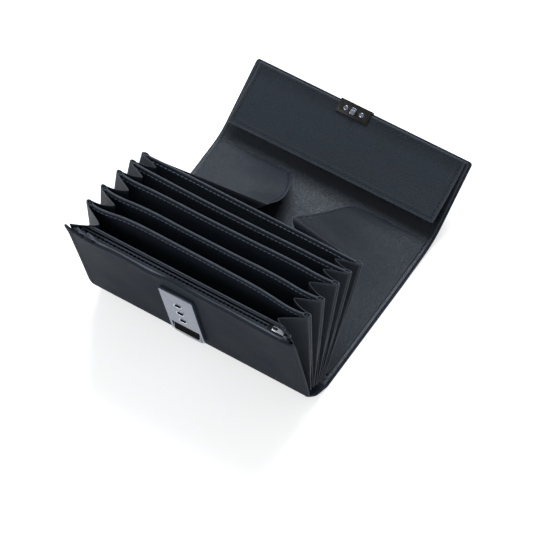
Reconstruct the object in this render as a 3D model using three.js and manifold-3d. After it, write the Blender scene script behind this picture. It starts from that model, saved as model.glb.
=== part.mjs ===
// A waiter's wallet, lying open on its back cover, in millimetres with +Z up.
// The origin is the middle of the back cover's underside. +X runs along the wallet's
// width and +Y from the folded bottom edge to the flap. Every leather panel is a flat
// sheet in a frame of its own: x across, s from the panel's lower edge to its free
// edge, and n across its thickness.
import * as THREE from 'three';
import { mergeVertices } from 'three/addons/utils/BufferGeometryUtils.js';
import Module from 'manifold-3d';

const wasm = await Module();
wasm.setup();

// Driving dimensions of the leather body.
const COVER_WIDTH = 180;
const DIVIDER_INSET = 2.5;
const DIVIDER_WIDTH = COVER_WIDTH - 2 * DIVIDER_INSET;
const BACK_LENGTH = 103.5;
const BAND_LENGTH = 41.5;
const FLAP_LENGTH = 61.7;
const FRONT_HEIGHT = 95;
const DIVIDER_HEIGHT = 99;
const STRIP_LENGTH = 22.5;
const LEATHER = 1.4;
const LINING = 0.8;
const DIVIDER_THICKNESS = 1.6;
const CLEARANCE = 0.3;
const FOLD_GAP = 0.3;
const CORNER_RADIUS = 2.5;

// Rest angles of the panels, in degrees up from the table, as the wallet lies open.
const STRIP_ANGLE = 149.6;
const FRONT_ANGLE = 103.7;
const DIVIDER_ANGLES = [94, 86.1, 77.1, 69.5, 62.6];
const BAND_ANGLE = 4;
const FLAP_ANGLE = 35;

// Places of the dividers on the bottom strip, from the back cover's fold.
const REAR_DIVIDER_ALONG = 1.6;
const FIRST_DIVIDER_ALONG = 17.6;
const BOTTOM_STANDOFF = 1.3;

// Side gussets: the V-folded pleats between the dividers and the coin compartment's leaves.
const PLEAT_DEPTH = 16.5;
const PLEAT_THICKNESS = 0.8;
const PLEAT_FOOT = 22;
const PLEAT_DROP = 0.6;
const LEAF_THICKNESS = 0.8;
const LEAF_INSET = 1.5;
const LEAF_FOOT = 6;
const LEAF_START = 9;
const LEAF_CURVE_SHARE = 1.2;
const FRONT_LEAF_START_SHARE = 0.25;
const LEAF_TIP_HALF_GAP = 12;
const LEAF_TIP_ALONG = 86;
const LEAF_TIP_HEIGHT = 39;
const LEAF_KNEE_HALF_GAP = 18;
const LEAF_KNEE_REACH = 19.5;
const LEAF_KNEE_ALONG = BACK_LENGTH + LEAF_KNEE_REACH;
const LEAF_KNEE_HEIGHT = 6;
const LEAF_END_HALF_GAP = 36;
const LEAF_END_REACH = 37.5;
const LEAF_END_ALONG = BACK_LENGTH + LEAF_END_REACH;
const LEAF_END_HEIGHT = 6.5;

// Zip pocket in the front: its mouth, zip and slider.
const POCKET_FOOT = 1.3;
const POCKET_MOUTH = 7;
const PARTITION_THICKNESS = 0.9;
const PARTITION_RISE = 1;
const ZIP_END_INSET = 10;
const ZIP_HALF_LENGTH = COVER_WIDTH / 2 - ZIP_END_INSET;
const ZIP_DEPTH = 6;
const TAPE_THICKNESS = 0.5;
const TEETH_WIDTH = 1.15;
const TEETH_HEIGHT = 1.4;
const TOOTH_SPACING = 3.2;
const TOOTH_RELIEF = 0.45;
const CHAIN_GAP = 1;
const SLIDER_END_INSET = 10;
const SLIDER_PLACE = ZIP_HALF_LENGTH - SLIDER_END_INSET;
const SLIDER_LENGTH = 8;
const SLIDER_WIDTH = 4.6;
const SLIDER_PLATE = 0.8;
const SLIDER_POST = 0.4;
const STOP_LENGTH = 2;
const BAIL_HEIGHT = 2.2;
const BAIL_WIRE = 0.8;
const PULLER_LENGTH = 9;
const PULLER_WIDTH = 4;
const PULLER_THICKNESS = 0.8;

// Metal lock on the front cover, with three catch slots and a thumb slide. Heights of the
// slots and rivets are taken from the lock's lower edge.
const LOCK_CENTRE = -5;
const LOCK_FOOT = 10;
const LOCK_WIDTH = 26.5;
const LOCK_HEIGHT = 66;
const LOCK_DEPTH = 2.7;
const LOCK_WALL = 0.6;
const LOCK_CORNER = 1;
const BASE_PLATE = 0.5;
const SLOT_WIDTH = 5;
const SLOT_HEIGHT = 2.6;
const SLOT_HEIGHTS = [25.5, 38, 50.5];
const THUMB_WIDTH = 22;
const THUMB_TOP = 14.5;
const THUMB_DROP = 3.5;
const THUMB_NOSE = 6.5;
const THUMB_ARC = 2;
const LATCH_WIDTH = 17;
const LATCH_LENGTH = 42;
const LATCH_THICKNESS = 0.7;
const LATCH_WINDOW = 3.4;
const SPRING_DIAMETER = 1.1;
const SPRING_WIRE = 0.3;
const SPRING_TURNS = 6;
const RIVET_SHANK = 0.8;
const RIVET_HEAD = 1.3;
const RIVET_HEAD_HEIGHT = 0.4;
const RIVET_CROWN_SHARE = 0.7;
const RIVET_ACROSS = 10.2;
const RIVET_HEIGHTS = [20, 59];
const BACKING_WIDTH = 24.6;
const BACKING_MARGIN = 3.2;

// Inner panel on the flap, and the metal strike on the flap's free edge.
const PANEL_INSET = 4;
const PANEL_WIDTH = COVER_WIDTH - 2 * PANEL_INSET;
const PANEL_THICKNESS = 1.2;
const PANEL_SEAM = 11.7;
const PANEL_CREASE = FLAP_LENGTH - PANEL_SEAM;
const PANEL_LOW = 10;
const PANEL_ANGLE = 10;
const STRIKE_WIDTH = 25.5;
const STRIKE_DEPTH = 9;
const STRIKE_PLATE = 0.8;
const STRIKE_RIVET_ACROSS = 6.5;
const STRIKE_RIVET_HEAD = 1.9;
const HOOK_WIDTH = 3.6;
const HOOK_LENGTH = 5;
const HOOK_RISE = 2.2;
const HOOK_PLATE = 0.6;

// Materials, by finish.
const finish = (color, roughness, metalness) => ({ color, roughness, metalness });
const OUTER_LEATHER = finish(0x272a31, 0.55, 0);
const INNER_LEATHER = finish(0x31353e, 0.6, 0);
const SMOOTH_LINING = finish(0x3a3f49, 0.5, 0);
const ZIP_TAPE = finish(0x1e2026, 0.85, 0);
const BLACK_METAL = finish(0x24262c, 0.4, 0.7);
const CHROME = finish(0xcdd4e6, 0.18, 1);
const STEEL = finish(0x9a9ea6, 0.35, 1);

const wallet = new THREE.Group();
const rad = THREE.MathUtils.degToRad;

function add(parent, name, geometry, look) {
  const mesh = new THREE.Mesh(geometry, new THREE.MeshStandardMaterial(look));
  mesh.name = name;
  parent.add(mesh);
  return mesh;
}

// A panel's frame: its lower edge in the side view, and its angle up from the table.
function panelFrame(foot, degrees) {
  const group = new THREE.Group();
  group.position.set(0, foot.y, foot.z);
  group.rotation.x = rad(degrees);
  wallet.add(group);
  const turn = rad(degrees);
  const at = (s, n) => ({
    y: foot.y + s * Math.cos(turn) - n * Math.sin(turn),
    z: foot.z + s * Math.sin(turn) + n * Math.cos(turn),
  });
  return { group, at };
}

// Makes a closed geometry from shared corners, with its faces pointing out.
function closedGeometry(corners, faces) {
  let volume = 0;
  const cross = new THREE.Vector3();
  for (const [a, b, c] of faces) {
    volume += corners[a].dot(cross.crossVectors(corners[b], corners[c]));
  }
  const outward = volume < 0 ? faces.map(([a, b, c]) => [a, c, b]) : faces;
  const geometry = new THREE.BufferGeometry().setFromPoints(corners);
  geometry.setIndex(outward.flat());
  geometry.computeVertexNormals();
  return geometry;
}

// A solid carried through rings of corners that lie in order, with the first ring's
// flat outline given for the two end caps.
function loft(rings, outline) {
  const count = outline.length;
  const faces = [];
  for (let i = 0; i + 1 < rings.length; i += 1) {
    for (let j = 0; j < count; j += 1) {
      const k = (j + 1) % count;
      const [a, b, c, d] = [i * count + j, i * count + k, (i + 1) * count + k, (i + 1) * count + j];
      faces.push([a, b, c], [a, c, d]);
    }
  }
  const last = (rings.length - 1) * count;
  const clockwise = THREE.ShapeUtils.isClockWise(outline);
  for (const [a, b, c] of THREE.ShapeUtils.triangulateShape(outline, [])) {
    const cap = clockwise ? [a, b, c] : [a, c, b];
    faces.push(cap, [last + cap[0], last + cap[2], last + cap[1]]);
  }
  return closedGeometry(rings.flat(), faces);
}

// A thin solid between two grids of points that face each other.
function slab(upper, lower) {
  const rows = upper.length;
  const columns = upper[0].length;
  const place = (layer, i, j) => (layer * rows + i) * columns + j;
  const faces = [];
  for (let i = 0; i + 1 < rows; i += 1) {
    for (let j = 0; j + 1 < columns; j += 1) {
      const [a, b, c, d] = [place(0, i, j), place(0, i, j + 1), place(0, i + 1, j + 1), place(0, i + 1, j)];
      const shift = rows * columns;
      faces.push([a, b, c], [a, c, d]);
      faces.push([a + shift, c + shift, b + shift], [a + shift, d + shift, c + shift]);
    }
  }
  const rim = [];
  for (let j = 0; j < columns - 1; j += 1) rim.push([0, j]);
  for (let i = 0; i < rows - 1; i += 1) rim.push([i, columns - 1]);
  for (let j = columns - 1; j > 0; j -= 1) rim.push([rows - 1, j]);
  for (let i = rows - 1; i > 0; i -= 1) rim.push([i, 0]);
  rim.forEach(([i, j], index) => {
    const [k, l] = rim[(index + 1) % rim.length];
    const [a, b, c, d] = [place(0, i, j), place(0, k, l), place(1, k, l), place(1, i, j)];
    faces.push([a, c, b], [a, d, c]);
  });
  return closedGeometry([...upper.flat(), ...lower.flat()], faces);
}

// A rectangle with rounded corners, and round holes in it.
function roundedShape(x0, x1, s0, s1, radius, holes = []) {
  const shape = new THREE.Shape();
  shape.moveTo(x0 + radius, s0);
  shape.lineTo(x1 - radius, s0);
  shape.absarc(x1 - radius, s0 + radius, radius, -Math.PI / 2, 0);
  shape.lineTo(x1, s1 - radius);
  shape.absarc(x1 - radius, s1 - radius, radius, 0, Math.PI / 2);
  shape.lineTo(x0 + radius, s1);
  shape.absarc(x0 + radius, s1 - radius, radius, Math.PI / 2, Math.PI);
  shape.lineTo(x0, s0 + radius);
  shape.absarc(x0 + radius, s0 + radius, radius, Math.PI, 1.5 * Math.PI);
  for (const [x, s, r] of holes) {
    shape.holes.push(new THREE.Path().absarc(x, s, r, 0, 2 * Math.PI, true));
  }
  return shape;
}

// A sheet in a panel's frame, from n0 to n1 across its thickness.
function sheet(shape, n0, n1) {
  const options = { depth: n1 - n0, bevelEnabled: false, curveSegments: 4 };
  return new THREE.ExtrudeGeometry(shape, options).translate(0, 0, n0);
}

// A profile of points [s, n] carried along x, from x0 to x1.
function rail(points, x0, x1) {
  const shape = new THREE.Shape(points.map(([s, n]) => new THREE.Vector2(s, n)));
  const solid = new THREE.ExtrudeGeometry(shape, { depth: x1 - x0, bevelEnabled: false });
  return solid.applyMatrix4(new THREE.Matrix4().set(0, 0, 1, x0, 1, 0, 0, 0, 0, 1, 0, 0, 0, 0, 0, 1));
}

function block(x0, x1, s0, s1, n0, n1) {
  const box = new THREE.BoxGeometry(x1 - x0, s1 - s0, n1 - n0);
  return box.translate((x0 + x1) / 2, (s0 + s1) / 2, (n0 + n1) / 2);
}

function toSolid(geometry) {
  const bare = geometry.clone();
  bare.deleteAttribute('normal');
  bare.deleteAttribute('uv');
  const merged = mergeVertices(bare);
  const triVerts = Uint32Array.from(merged.index.array);
  const vertProperties = merged.attributes.position.array;
  return new wasm.Manifold(new wasm.Mesh({ numProp: 3, vertProperties, triVerts }));
}

function fromSolid(solid) {
  const mesh = solid.getMesh();
  const geometry = new THREE.BufferGeometry();
  geometry.setAttribute('position', new THREE.BufferAttribute(mesh.vertProperties, 3));
  geometry.setIndex(new THREE.BufferAttribute(mesh.triVerts, 1));
  return geometry;
}

// A rivet along n: a shank with a head at each end.
function rivet(x, s, low, high, shank, head, headHeight) {
  const profile = [[0, low - headHeight], [head, low - headHeight], [head, low], [shank, low],
    [shank, high], [head, high], [head * RIVET_CROWN_SHARE, high + headHeight], [0, high + headHeight]];
  const solid = new THREE.LatheGeometry(profile.map(([r, h]) => new THREE.Vector2(r, h)), 12);
  return solid.rotateX(Math.PI / 2).translate(x, s, 0);
}

// Frames of the panels.
const INNER_FACE = LEATHER + CLEARANCE + LINING;
const BOTTOM_EDGE = -BACK_LENGTH / 2;
const back = panelFrame({ y: BOTTOM_EDGE, z: 0 }, 0);
const strip = panelFrame({ y: BOTTOM_EDGE, z: INNER_FACE }, STRIP_ANGLE);
const front = panelFrame(strip.at(STRIP_LENGTH, 0), FRONT_ANGLE);
const dividers = DIVIDER_ANGLES.map((angle, i) => {
  const nearer = ((FIRST_DIVIDER_ALONG - REAR_DIVIDER_ALONG) * i) / (DIVIDER_ANGLES.length - 1);
  return panelFrame(strip.at(FIRST_DIVIDER_ALONG - nearer, -BOTTOM_STANDOFF), angle);
});
const band = panelFrame({ y: BOTTOM_EDGE + BACK_LENGTH, z: INNER_FACE }, BAND_ANGLE);
const flap = panelFrame(band.at(BAND_LENGTH, 0), FLAP_ANGLE);
const HALF_COVER = COVER_WIDTH / 2;
const HALF_DIVIDER = DIVIDER_WIDTH / 2;
const LINING_HALF = HALF_COVER - LEATHER;

// Back cover and its lining, the surface the wallet rests on.
function buildBack() {
  const outer = roundedShape(-HALF_COVER, HALF_COVER, FOLD_GAP, BACK_LENGTH - FOLD_GAP, CLEARANCE);
  add(back.group, 'back_cover', sheet(outer, 0, LEATHER), OUTER_LEATHER);
  const inner = roundedShape(-LINING_HALF, LINING_HALF, FOLD_GAP, BACK_LENGTH - FOLD_GAP, CLEARANCE);
  add(back.group, 'coin_pocket_lining', sheet(inner, LEATHER + CLEARANCE, INNER_FACE), SMOOTH_LINING);
}

// The strip under the compartments, bowed outward between its two folds.
function buildBottomStrip() {
  const steps = 8;
  const inside = [];
  const outside = [];
  for (let i = 0; i <= steps; i += 1) {
    const s = FOLD_GAP + ((STRIP_LENGTH - 2 * FOLD_GAP) * i) / steps;
    const bow = (LEATHER * Math.sin((Math.PI * i) / steps)) / 2;
    inside.push([s, bow]);
    outside.unshift([s, bow + LEATHER]);
  }
  add(strip.group, 'bottom_strip', rail([...inside, ...outside], -HALF_COVER, HALF_COVER), OUTER_LEATHER);
}

// Band that bridges the closed wallet's thickness, and the flap that closes over the front.
function buildFlap(strikeHoles) {
  const outerFace = -INNER_FACE;
  const liningFace = outerFace + LEATHER;
  const bandShape = roundedShape(-HALF_COVER, HALF_COVER, FOLD_GAP, BAND_LENGTH - FOLD_GAP, CLEARANCE);
  add(band.group, 'spine_band', sheet(bandShape, outerFace, liningFace), OUTER_LEATHER);
  const bandLining = roundedShape(-LINING_HALF, LINING_HALF, FOLD_GAP, BAND_LENGTH - FOLD_GAP, CLEARANCE);
  add(band.group, 'spine_band_lining', sheet(bandLining, liningFace + CLEARANCE, 0), SMOOTH_LINING);

  const flapShape = roundedShape(-HALF_COVER, HALF_COVER, FOLD_GAP, FLAP_LENGTH, CORNER_RADIUS, strikeHoles);
  add(flap.group, 'flap_cover', sheet(flapShape, outerFace, liningFace), OUTER_LEATHER);
  const liningTop = FLAP_LENGTH - LEATHER;
  const flapLining = roundedShape(-LINING_HALF, LINING_HALF, FOLD_GAP, liningTop, CORNER_RADIUS, strikeHoles);
  add(flap.group, 'flap_lining', sheet(flapLining, liningFace + CLEARANCE, 0), SMOOTH_LINING);
}

// The flap's inner panel: a seam strip fixed along the free edge, and the panel proper,
// which lifts about a crease and leaves a flat pocket behind it.
function buildInnerPanel(strikeHoles) {
  const half = PANEL_WIDTH / 2;
  const top = FLAP_LENGTH - LEATHER;
  const seam = roundedShape(-half, half, PANEL_CREASE + CLEARANCE, top, CLEARANCE, strikeHoles);
  add(flap.group, 'inner_panel_seam', sheet(seam, CLEARANCE, CLEARANCE + PANEL_THICKNESS), INNER_LEATHER);
  const leaf = new THREE.Group();
  leaf.position.set(0, PANEL_CREASE - CLEARANCE, CLEARANCE);
  leaf.rotation.x = -rad(PANEL_ANGLE);
  flap.group.add(leaf);
  const shape = roundedShape(-half, half, PANEL_LOW - PANEL_CREASE, -CLEARANCE, CLEARANCE);
  add(leaf, 'inner_flap_panel', sheet(shape, 0, PANEL_THICKNESS), INNER_LEATHER);
}

// Front cover, with holes for the lock's rivets.
function buildFrontCover(lockHoles) {
  const shape = roundedShape(-HALF_COVER, HALF_COVER, FOLD_GAP, FRONT_HEIGHT, CORNER_RADIUS, lockHoles);
  add(front.group, 'front_cover', sheet(shape, 0, LEATHER), OUTER_LEATHER);
}

// How far the zip pocket is open, from the front cover's inner face, at height s.
function pocketWidth(s) {
  return POCKET_FOOT + ((POCKET_MOUTH - POCKET_FOOT) * s) / FRONT_HEIGHT;
}

// The zip pocket's rear wall, which leans away from the front cover.
function buildPartition() {
  const lean = Math.atan((POCKET_MOUTH - POCKET_FOOT) / FRONT_HEIGHT);
  const wall = new THREE.Group();
  wall.position.set(0, 0, -POCKET_FOOT);
  wall.rotation.x = -lean;
  front.group.add(wall);
  const shape = roundedShape(-HALF_DIVIDER, HALF_DIVIDER, FOLD_GAP, FRONT_HEIGHT + PARTITION_RISE, CLEARANCE);
  add(wall, 'zip_pocket_partition', sheet(shape, -PARTITION_THICKNESS, 0), INNER_LEATHER);
}

function buildDividers() {
  const names = ['divider_1', 'divider_2', 'divider_3', 'divider_4', 'rear_divider'];
  const shape = roundedShape(-HALF_DIVIDER, HALF_DIVIDER, 0, DIVIDER_HEIGHT, CLEARANCE);
  dividers.forEach(({ group }, i) => {
    const solid = sheet(shape, -DIVIDER_THICKNESS / 2, DIVIDER_THICKNESS / 2);
    add(group, names[i], solid, INNER_LEATHER);
  });
}

// A V-folded pleat closes one side of a compartment. Its two leaves lie beside the
// panels in front and behind, and its fold points into the wallet.
function buildPleat(name, side, frontFace, rearFace, look) {
  const sections = 5;
  const rings = [];
  let outline = null;
  for (let i = 0; i <= sections; i += 1) {
    const s = PLEAT_FOOT + ((DIVIDER_HEIGHT - PLEAT_DROP - PLEAT_FOOT) * i) / sections;
    const a = frontFace(s);
    const b = rearFace(s);
    const width = Math.hypot(b.y - a.y, b.z - a.z);
    const depth = (PLEAT_DEPTH * (1 + s / DIVIDER_HEIGHT)) / 2;
    const notch = (PLEAT_THICKNESS * depth) / (width / 2 - CLEARANCE);
    const section = [[0, CLEARANCE], [0, CLEARANCE + PLEAT_THICKNESS], [depth - notch, width / 2],
      [0, width - CLEARANCE - PLEAT_THICKNESS], [0, width - CLEARANCE], [depth, width / 2]];
    rings.push(section.map(([inward, across]) => new THREE.Vector3(
      side * (HALF_DIVIDER - inward),
      a.y + ((b.y - a.y) * across) / width,
      a.z + ((b.z - a.z) * across) / width,
    )));
    outline = outline ?? section.map(([inward, across]) => new THREE.Vector2(inward, across));
  }
  add(wallet, name, loft(rings, outline), look);
}

function buildPleats() {
  const half = DIVIDER_THICKNESS / 2;
  const rearOfPocket = (s) => front.at(s, -pocketWidth(s) - PARTITION_THICKNESS);
  const fronts = [rearOfPocket, ...dividers.slice(0, -1).map(({ at }) => (s) => at(s, -half))];
  const rears = dividers.map(({ at }) => (s) => at(s, half));
  for (const [sideName, side] of [['left', -1], ['right', 1]]) {
    fronts.forEach((frontFace, i) => {
      buildPleat(`${sideName}_pleat_${i + 1}`, side, frontFace, rears[i], INNER_LEATHER);
    });
  }
}

// The coin compartment's side gusset: a broad leaf along the back cover and the band,
// raised to a tip near the middle. It folds there into the front leaf.
function leafInnerEdge(y) {
  if (y <= LEAF_TIP_ALONG) {
    const t = (y - LEAF_FOOT) / (LEAF_TIP_ALONG - LEAF_FOOT);
    return { half: HALF_DIVIDER - LEAF_INSET + (LEAF_TIP_HALF_GAP - HALF_DIVIDER + LEAF_INSET) * t, t };
  }
  if (y <= LEAF_KNEE_ALONG) {
    const t = (y - LEAF_TIP_ALONG) / (LEAF_KNEE_ALONG - LEAF_TIP_ALONG);
    return { half: LEAF_TIP_HALF_GAP + (LEAF_KNEE_HALF_GAP - LEAF_TIP_HALF_GAP) * t, t: t + 1 };
  }
  const t = (y - LEAF_KNEE_ALONG) / (LEAF_END_ALONG - LEAF_KNEE_ALONG);
  return { half: LEAF_KNEE_HALF_GAP + (LEAF_END_HALF_GAP - LEAF_KNEE_HALF_GAP) * t, t: t + 2 };
}

function leafHeight(t) {
  if (t <= 1) return (LEAF_TIP_HEIGHT - INNER_FACE) * t;
  if (t <= 2) {
    const ease = (1 - Math.sin((Math.PI * (t - 1)) / 2)) * (LEAF_TIP_HEIGHT - LEAF_KNEE_HEIGHT);
    return ease + LEAF_KNEE_HEIGHT - INNER_FACE;
  }
  return LEAF_KNEE_HEIGHT - INNER_FACE + (LEAF_END_HEIGHT - LEAF_KNEE_HEIGHT) * (t - 2);
}

// The height of the lining or band under a place along the back.
function floorHeight(y) {
  return INNER_FACE + Math.max(0, y - BACK_LENGTH) * Math.tan(rad(BAND_ANGLE));
}

function buildCoinLeaves() {
  const rows = 18;
  const columns = 8;
  const edge = HALF_DIVIDER - LEAF_INSET;
  for (const [sideName, side] of [['left', -1], ['right', 1]]) {
    const upper = [];
    const lower = [];
    for (let i = 0; i <= rows; i += 1) {
      const y = LEAF_START + ((LEAF_END_ALONG - LEAF_START) * i) / rows;
      const inner = leafInnerEdge(y);
      const low = [];
      const high = [];
      for (let j = 0; j <= columns; j += 1) {
        const v = j / columns;
        const rise = (leafHeight(inner.t) - (floorHeight(y) - INNER_FACE)) * v ** LEAF_CURVE_SHARE;
        const x = side * (edge + (inner.half - edge) * v);
        const z = floorHeight(y) + CLEARANCE + Math.max(rise, 0);
        low.push(new THREE.Vector3(x, BOTTOM_EDGE + y, z));
        high.push(new THREE.Vector3(x, BOTTOM_EDGE + y, z + LEAF_THICKNESS));
      }
      lower.push(low);
      upper.push(high);
    }
    add(wallet, `${sideName}_coin_gusset_back_leaf`, slab(upper, lower), SMOOTH_LINING);
  }
}

// The gusset's front leaf: a flat triangle between the fold and the rear divider's side,
// from the bottom corner up to the divider's top corner.
function buildCoinFrontLeaves() {
  const rows = 8;
  const columns = 6;
  const start = FRONT_LEAF_START_SHARE;
  const rear = dividers[dividers.length - 1];
  const face = -DIVIDER_THICKNESS / 2 - CLEARANCE - LEAF_THICKNESS;
  const edge = HALF_DIVIDER - LEAF_INSET;
  const seamLength = DIVIDER_HEIGHT - LEAF_INSET;
  for (const [sideName, side] of [['left', -1], ['right', 1]]) {
    const corner = rear.at(0, face);
    const top = rear.at(seamLength, face);
    const tip = new THREE.Vector3(side * LEAF_TIP_HALF_GAP, BOTTOM_EDGE + LEAF_TIP_ALONG, LEAF_TIP_HEIGHT);
    const across = tip.sub(new THREE.Vector3(side * edge, corner.y, corner.z));
    const along = new THREE.Vector3(0, top.y - corner.y, top.z - corner.z);
    const normal = new THREE.Vector3().crossVectors(along, across);
    normal.multiplyScalar(side).setLength(LEAF_THICKNESS);
    const upper = [];
    const lower = [];
    for (let i = 0; i <= rows; i += 1) {
      const u = start + ((1 - start) * i) / rows;
      const y = LEAF_FOOT + (LEAF_TIP_ALONG - LEAF_FOOT) * u;
      const inner = leafInnerEdge(y);
      const foldHeight = floorHeight(y) + leafHeight(inner.t) + LEAF_THICKNESS + 2 * CLEARANCE;
      const fold = new THREE.Vector3(side * inner.half, BOTTOM_EDGE + y, foldHeight);
      const place = rear.at(seamLength * u, face);
      const seam = new THREE.Vector3(side * edge, place.y, place.z);
      lower.push([]);
      upper.push([]);
      for (let j = 0; j <= columns; j += 1) {
        const point = seam.clone().lerp(fold, j / columns);
        lower[i].push(point);
        upper[i].push(point.clone().add(normal));
      }
    }
    add(wallet, `${sideName}_coin_gusset_front_leaf`, slab(upper, lower), SMOOTH_LINING);
  }
}

// Zip: a tape and a row of teeth on each wall, end stops, a slider and its puller.
const ZIP_LEVEL = FRONT_HEIGHT - ZIP_DEPTH;
const ZIP_WIDTH = pocketWidth(ZIP_LEVEL);
const CHAIN_MIDDLE = ZIP_WIDTH / 2;

function toothRow(inner, direction) {
  const outer = inner + direction * TEETH_WIDTH;
  const points = [];
  const count = Math.round((2 * ZIP_HALF_LENGTH) / TOOTH_SPACING);
  const spacing = (2 * ZIP_HALF_LENGTH) / count;
  for (let i = 0; i < count; i += 1) {
    const x = -ZIP_HALF_LENGTH + i * spacing;
    points.push([x, inner], [x + spacing / 2, inner]);
    const relief = inner + direction * TOOTH_RELIEF;
    points.push([x + spacing / 2, relief], [x + spacing, relief]);
  }
  points.push([ZIP_HALF_LENGTH, outer], [-ZIP_HALF_LENGTH, outer]);
  const shape = new THREE.Shape(points.map(([x, n]) => new THREE.Vector2(x, n)));
  const solid = new THREE.ExtrudeGeometry(shape, { depth: TEETH_HEIGHT, bevelEnabled: false });
  return solid.rotateX(-Math.PI / 2).translate(0, ZIP_LEVEL - TEETH_HEIGHT / 2, 0);
}

function buildZip() {
  const x0 = -ZIP_HALF_LENGTH - STOP_LENGTH;
  const x1 = ZIP_HALF_LENGTH + STOP_LENGTH;
  const low = ZIP_LEVEL - TAPE_THICKNESS / 2;
  const high = ZIP_LEVEL + TAPE_THICKNESS / 2;
  const rowEdge = CHAIN_MIDDLE - CHAIN_GAP / 2 - TEETH_WIDTH - CLEARANCE;
  add(front.group, 'zip_tape_front', block(x0, x1, low, high, -rowEdge, -CLEARANCE), ZIP_TAPE);
  const rearEdge = pocketWidth(low) - CLEARANCE - TAPE_THICKNESS / 8;
  add(front.group, 'zip_tape_rear', block(x0, x1, low, high, -rearEdge, -(ZIP_WIDTH - rowEdge)), ZIP_TAPE);
  add(front.group, 'zip_teeth_front', toothRow(CHAIN_MIDDLE - CHAIN_GAP / 2, -1), BLACK_METAL);
  add(front.group, 'zip_teeth_rear', toothRow(CHAIN_MIDDLE + CHAIN_GAP / 2, 1), BLACK_METAL);
  const stopHalf = CHAIN_GAP / 2 + TEETH_WIDTH;
  for (const [sideName, side] of [['left', -1], ['right', 1]]) {
    const near = side * (ZIP_HALF_LENGTH + CLEARANCE);
    const far = side * (ZIP_HALF_LENGTH + STOP_LENGTH);
    const stop = block(Math.min(near, far), Math.max(near, far), ZIP_LEVEL - TEETH_HEIGHT / 2,
      ZIP_LEVEL + TEETH_HEIGHT / 2, -CHAIN_MIDDLE - stopHalf, -CHAIN_MIDDLE + stopHalf);
    add(front.group, `zip_stop_${sideName}`, stop, BLACK_METAL);
  }
}

// The slider straddles the chain: a plate above and one below on a thin post, and a
// bail on top that holds the puller.
function buildSlider() {
  const half = SLIDER_LENGTH / 2;
  const top = ZIP_LEVEL + TEETH_HEIGHT / 2 + CLEARANCE;
  const under = ZIP_LEVEL - TEETH_HEIGHT / 2 - CLEARANCE;
  const n0 = -CHAIN_MIDDLE - SLIDER_WIDTH / 2;
  const n1 = -CHAIN_MIDDLE + SLIDER_WIDTH / 2;
  const x0 = SLIDER_PLACE - half;
  const x1 = SLIDER_PLACE + half;
  const post = [-CHAIN_MIDDLE - SLIDER_POST / 2, -CHAIN_MIDDLE + SLIDER_POST / 2];
  const bail = [-CHAIN_MIDDLE - BAIL_WIRE / 2, -CHAIN_MIDDLE + BAIL_WIRE / 2];
  const bailTop = top + SLIDER_PLATE + BAIL_HEIGHT;
  const body = toSolid(block(x0, x1, top, top + SLIDER_PLATE, n0, n1))
    .add(toSolid(block(x0, x1, under - SLIDER_PLATE, under, n0, n1)))
    .add(toSolid(block(x0, x0 + half / 2, under - SLIDER_PLATE / 2, top + SLIDER_PLATE / 2, ...post)))
    .add(toSolid(block(x0 + half / 2, x1 - half / 2, top, bailTop, ...bail)))
    .subtract(toSolid(block(x0 + half / 2 + BAIL_WIRE, x1 - half / 2 - BAIL_WIRE, top + SLIDER_PLATE,
      bailTop - BAIL_WIRE, -CHAIN_MIDDLE - SLIDER_WIDTH, -CHAIN_MIDDLE + SLIDER_WIDTH)));
  add(front.group, 'zip_slider', fromSolid(body), STEEL);

  const barMiddle = SLIDER_PLACE - CLEARANCE;
  const barEnd = barMiddle + BAIL_WIRE / 2;
  const pullerStart = barMiddle - BAIL_WIRE / 2;
  const level = top + SLIDER_PLATE + BAIL_HEIGHT / 2 - BAIL_WIRE / 2;
  const pullerHalf = PULLER_WIDTH / 2;
  const plate = block(pullerStart, pullerStart + PULLER_LENGTH, level - PULLER_THICKNESS / 2,
    level + PULLER_THICKNESS / 2, -CHAIN_MIDDLE - pullerHalf, -CHAIN_MIDDLE + pullerHalf);
  const clearOfBail = BAIL_WIRE / 2 + CLEARANCE;
  const eye = block(barEnd, barEnd + half / 2 + BAIL_WIRE, level - PULLER_WIDTH, level + PULLER_WIDTH,
    -CHAIN_MIDDLE - clearOfBail, -CHAIN_MIDDLE + clearOfBail);
  add(front.group, 'zip_puller', fromSolid(toSolid(plate).subtract(toSolid(eye))), STEEL);
}

// Lock: base plate, slotted housing, sliding latch plate with its thumb slide, spring,
// backing plate inside the zip pocket, and four rivets.
const LOCK_TOP = LOCK_FOOT + LOCK_HEIGHT;
const BASE_FACE = LEATHER + CLEARANCE;
const BASE_TOP = BASE_FACE + BASE_PLATE;
const LOCK_FACE = BASE_FACE + LOCK_DEPTH;
const lockRivetXs = [LOCK_CENTRE - RIVET_ACROSS, LOCK_CENTRE + RIVET_ACROSS];
const lockRivetPlaces = RIVET_HEIGHTS.flatMap((height) => lockRivetXs.map((x) => [x, LOCK_FOOT + height]));
const lockHoles = lockRivetPlaces.map(([x, s]) => [x, s, RIVET_SHANK + CLEARANCE]);

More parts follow.
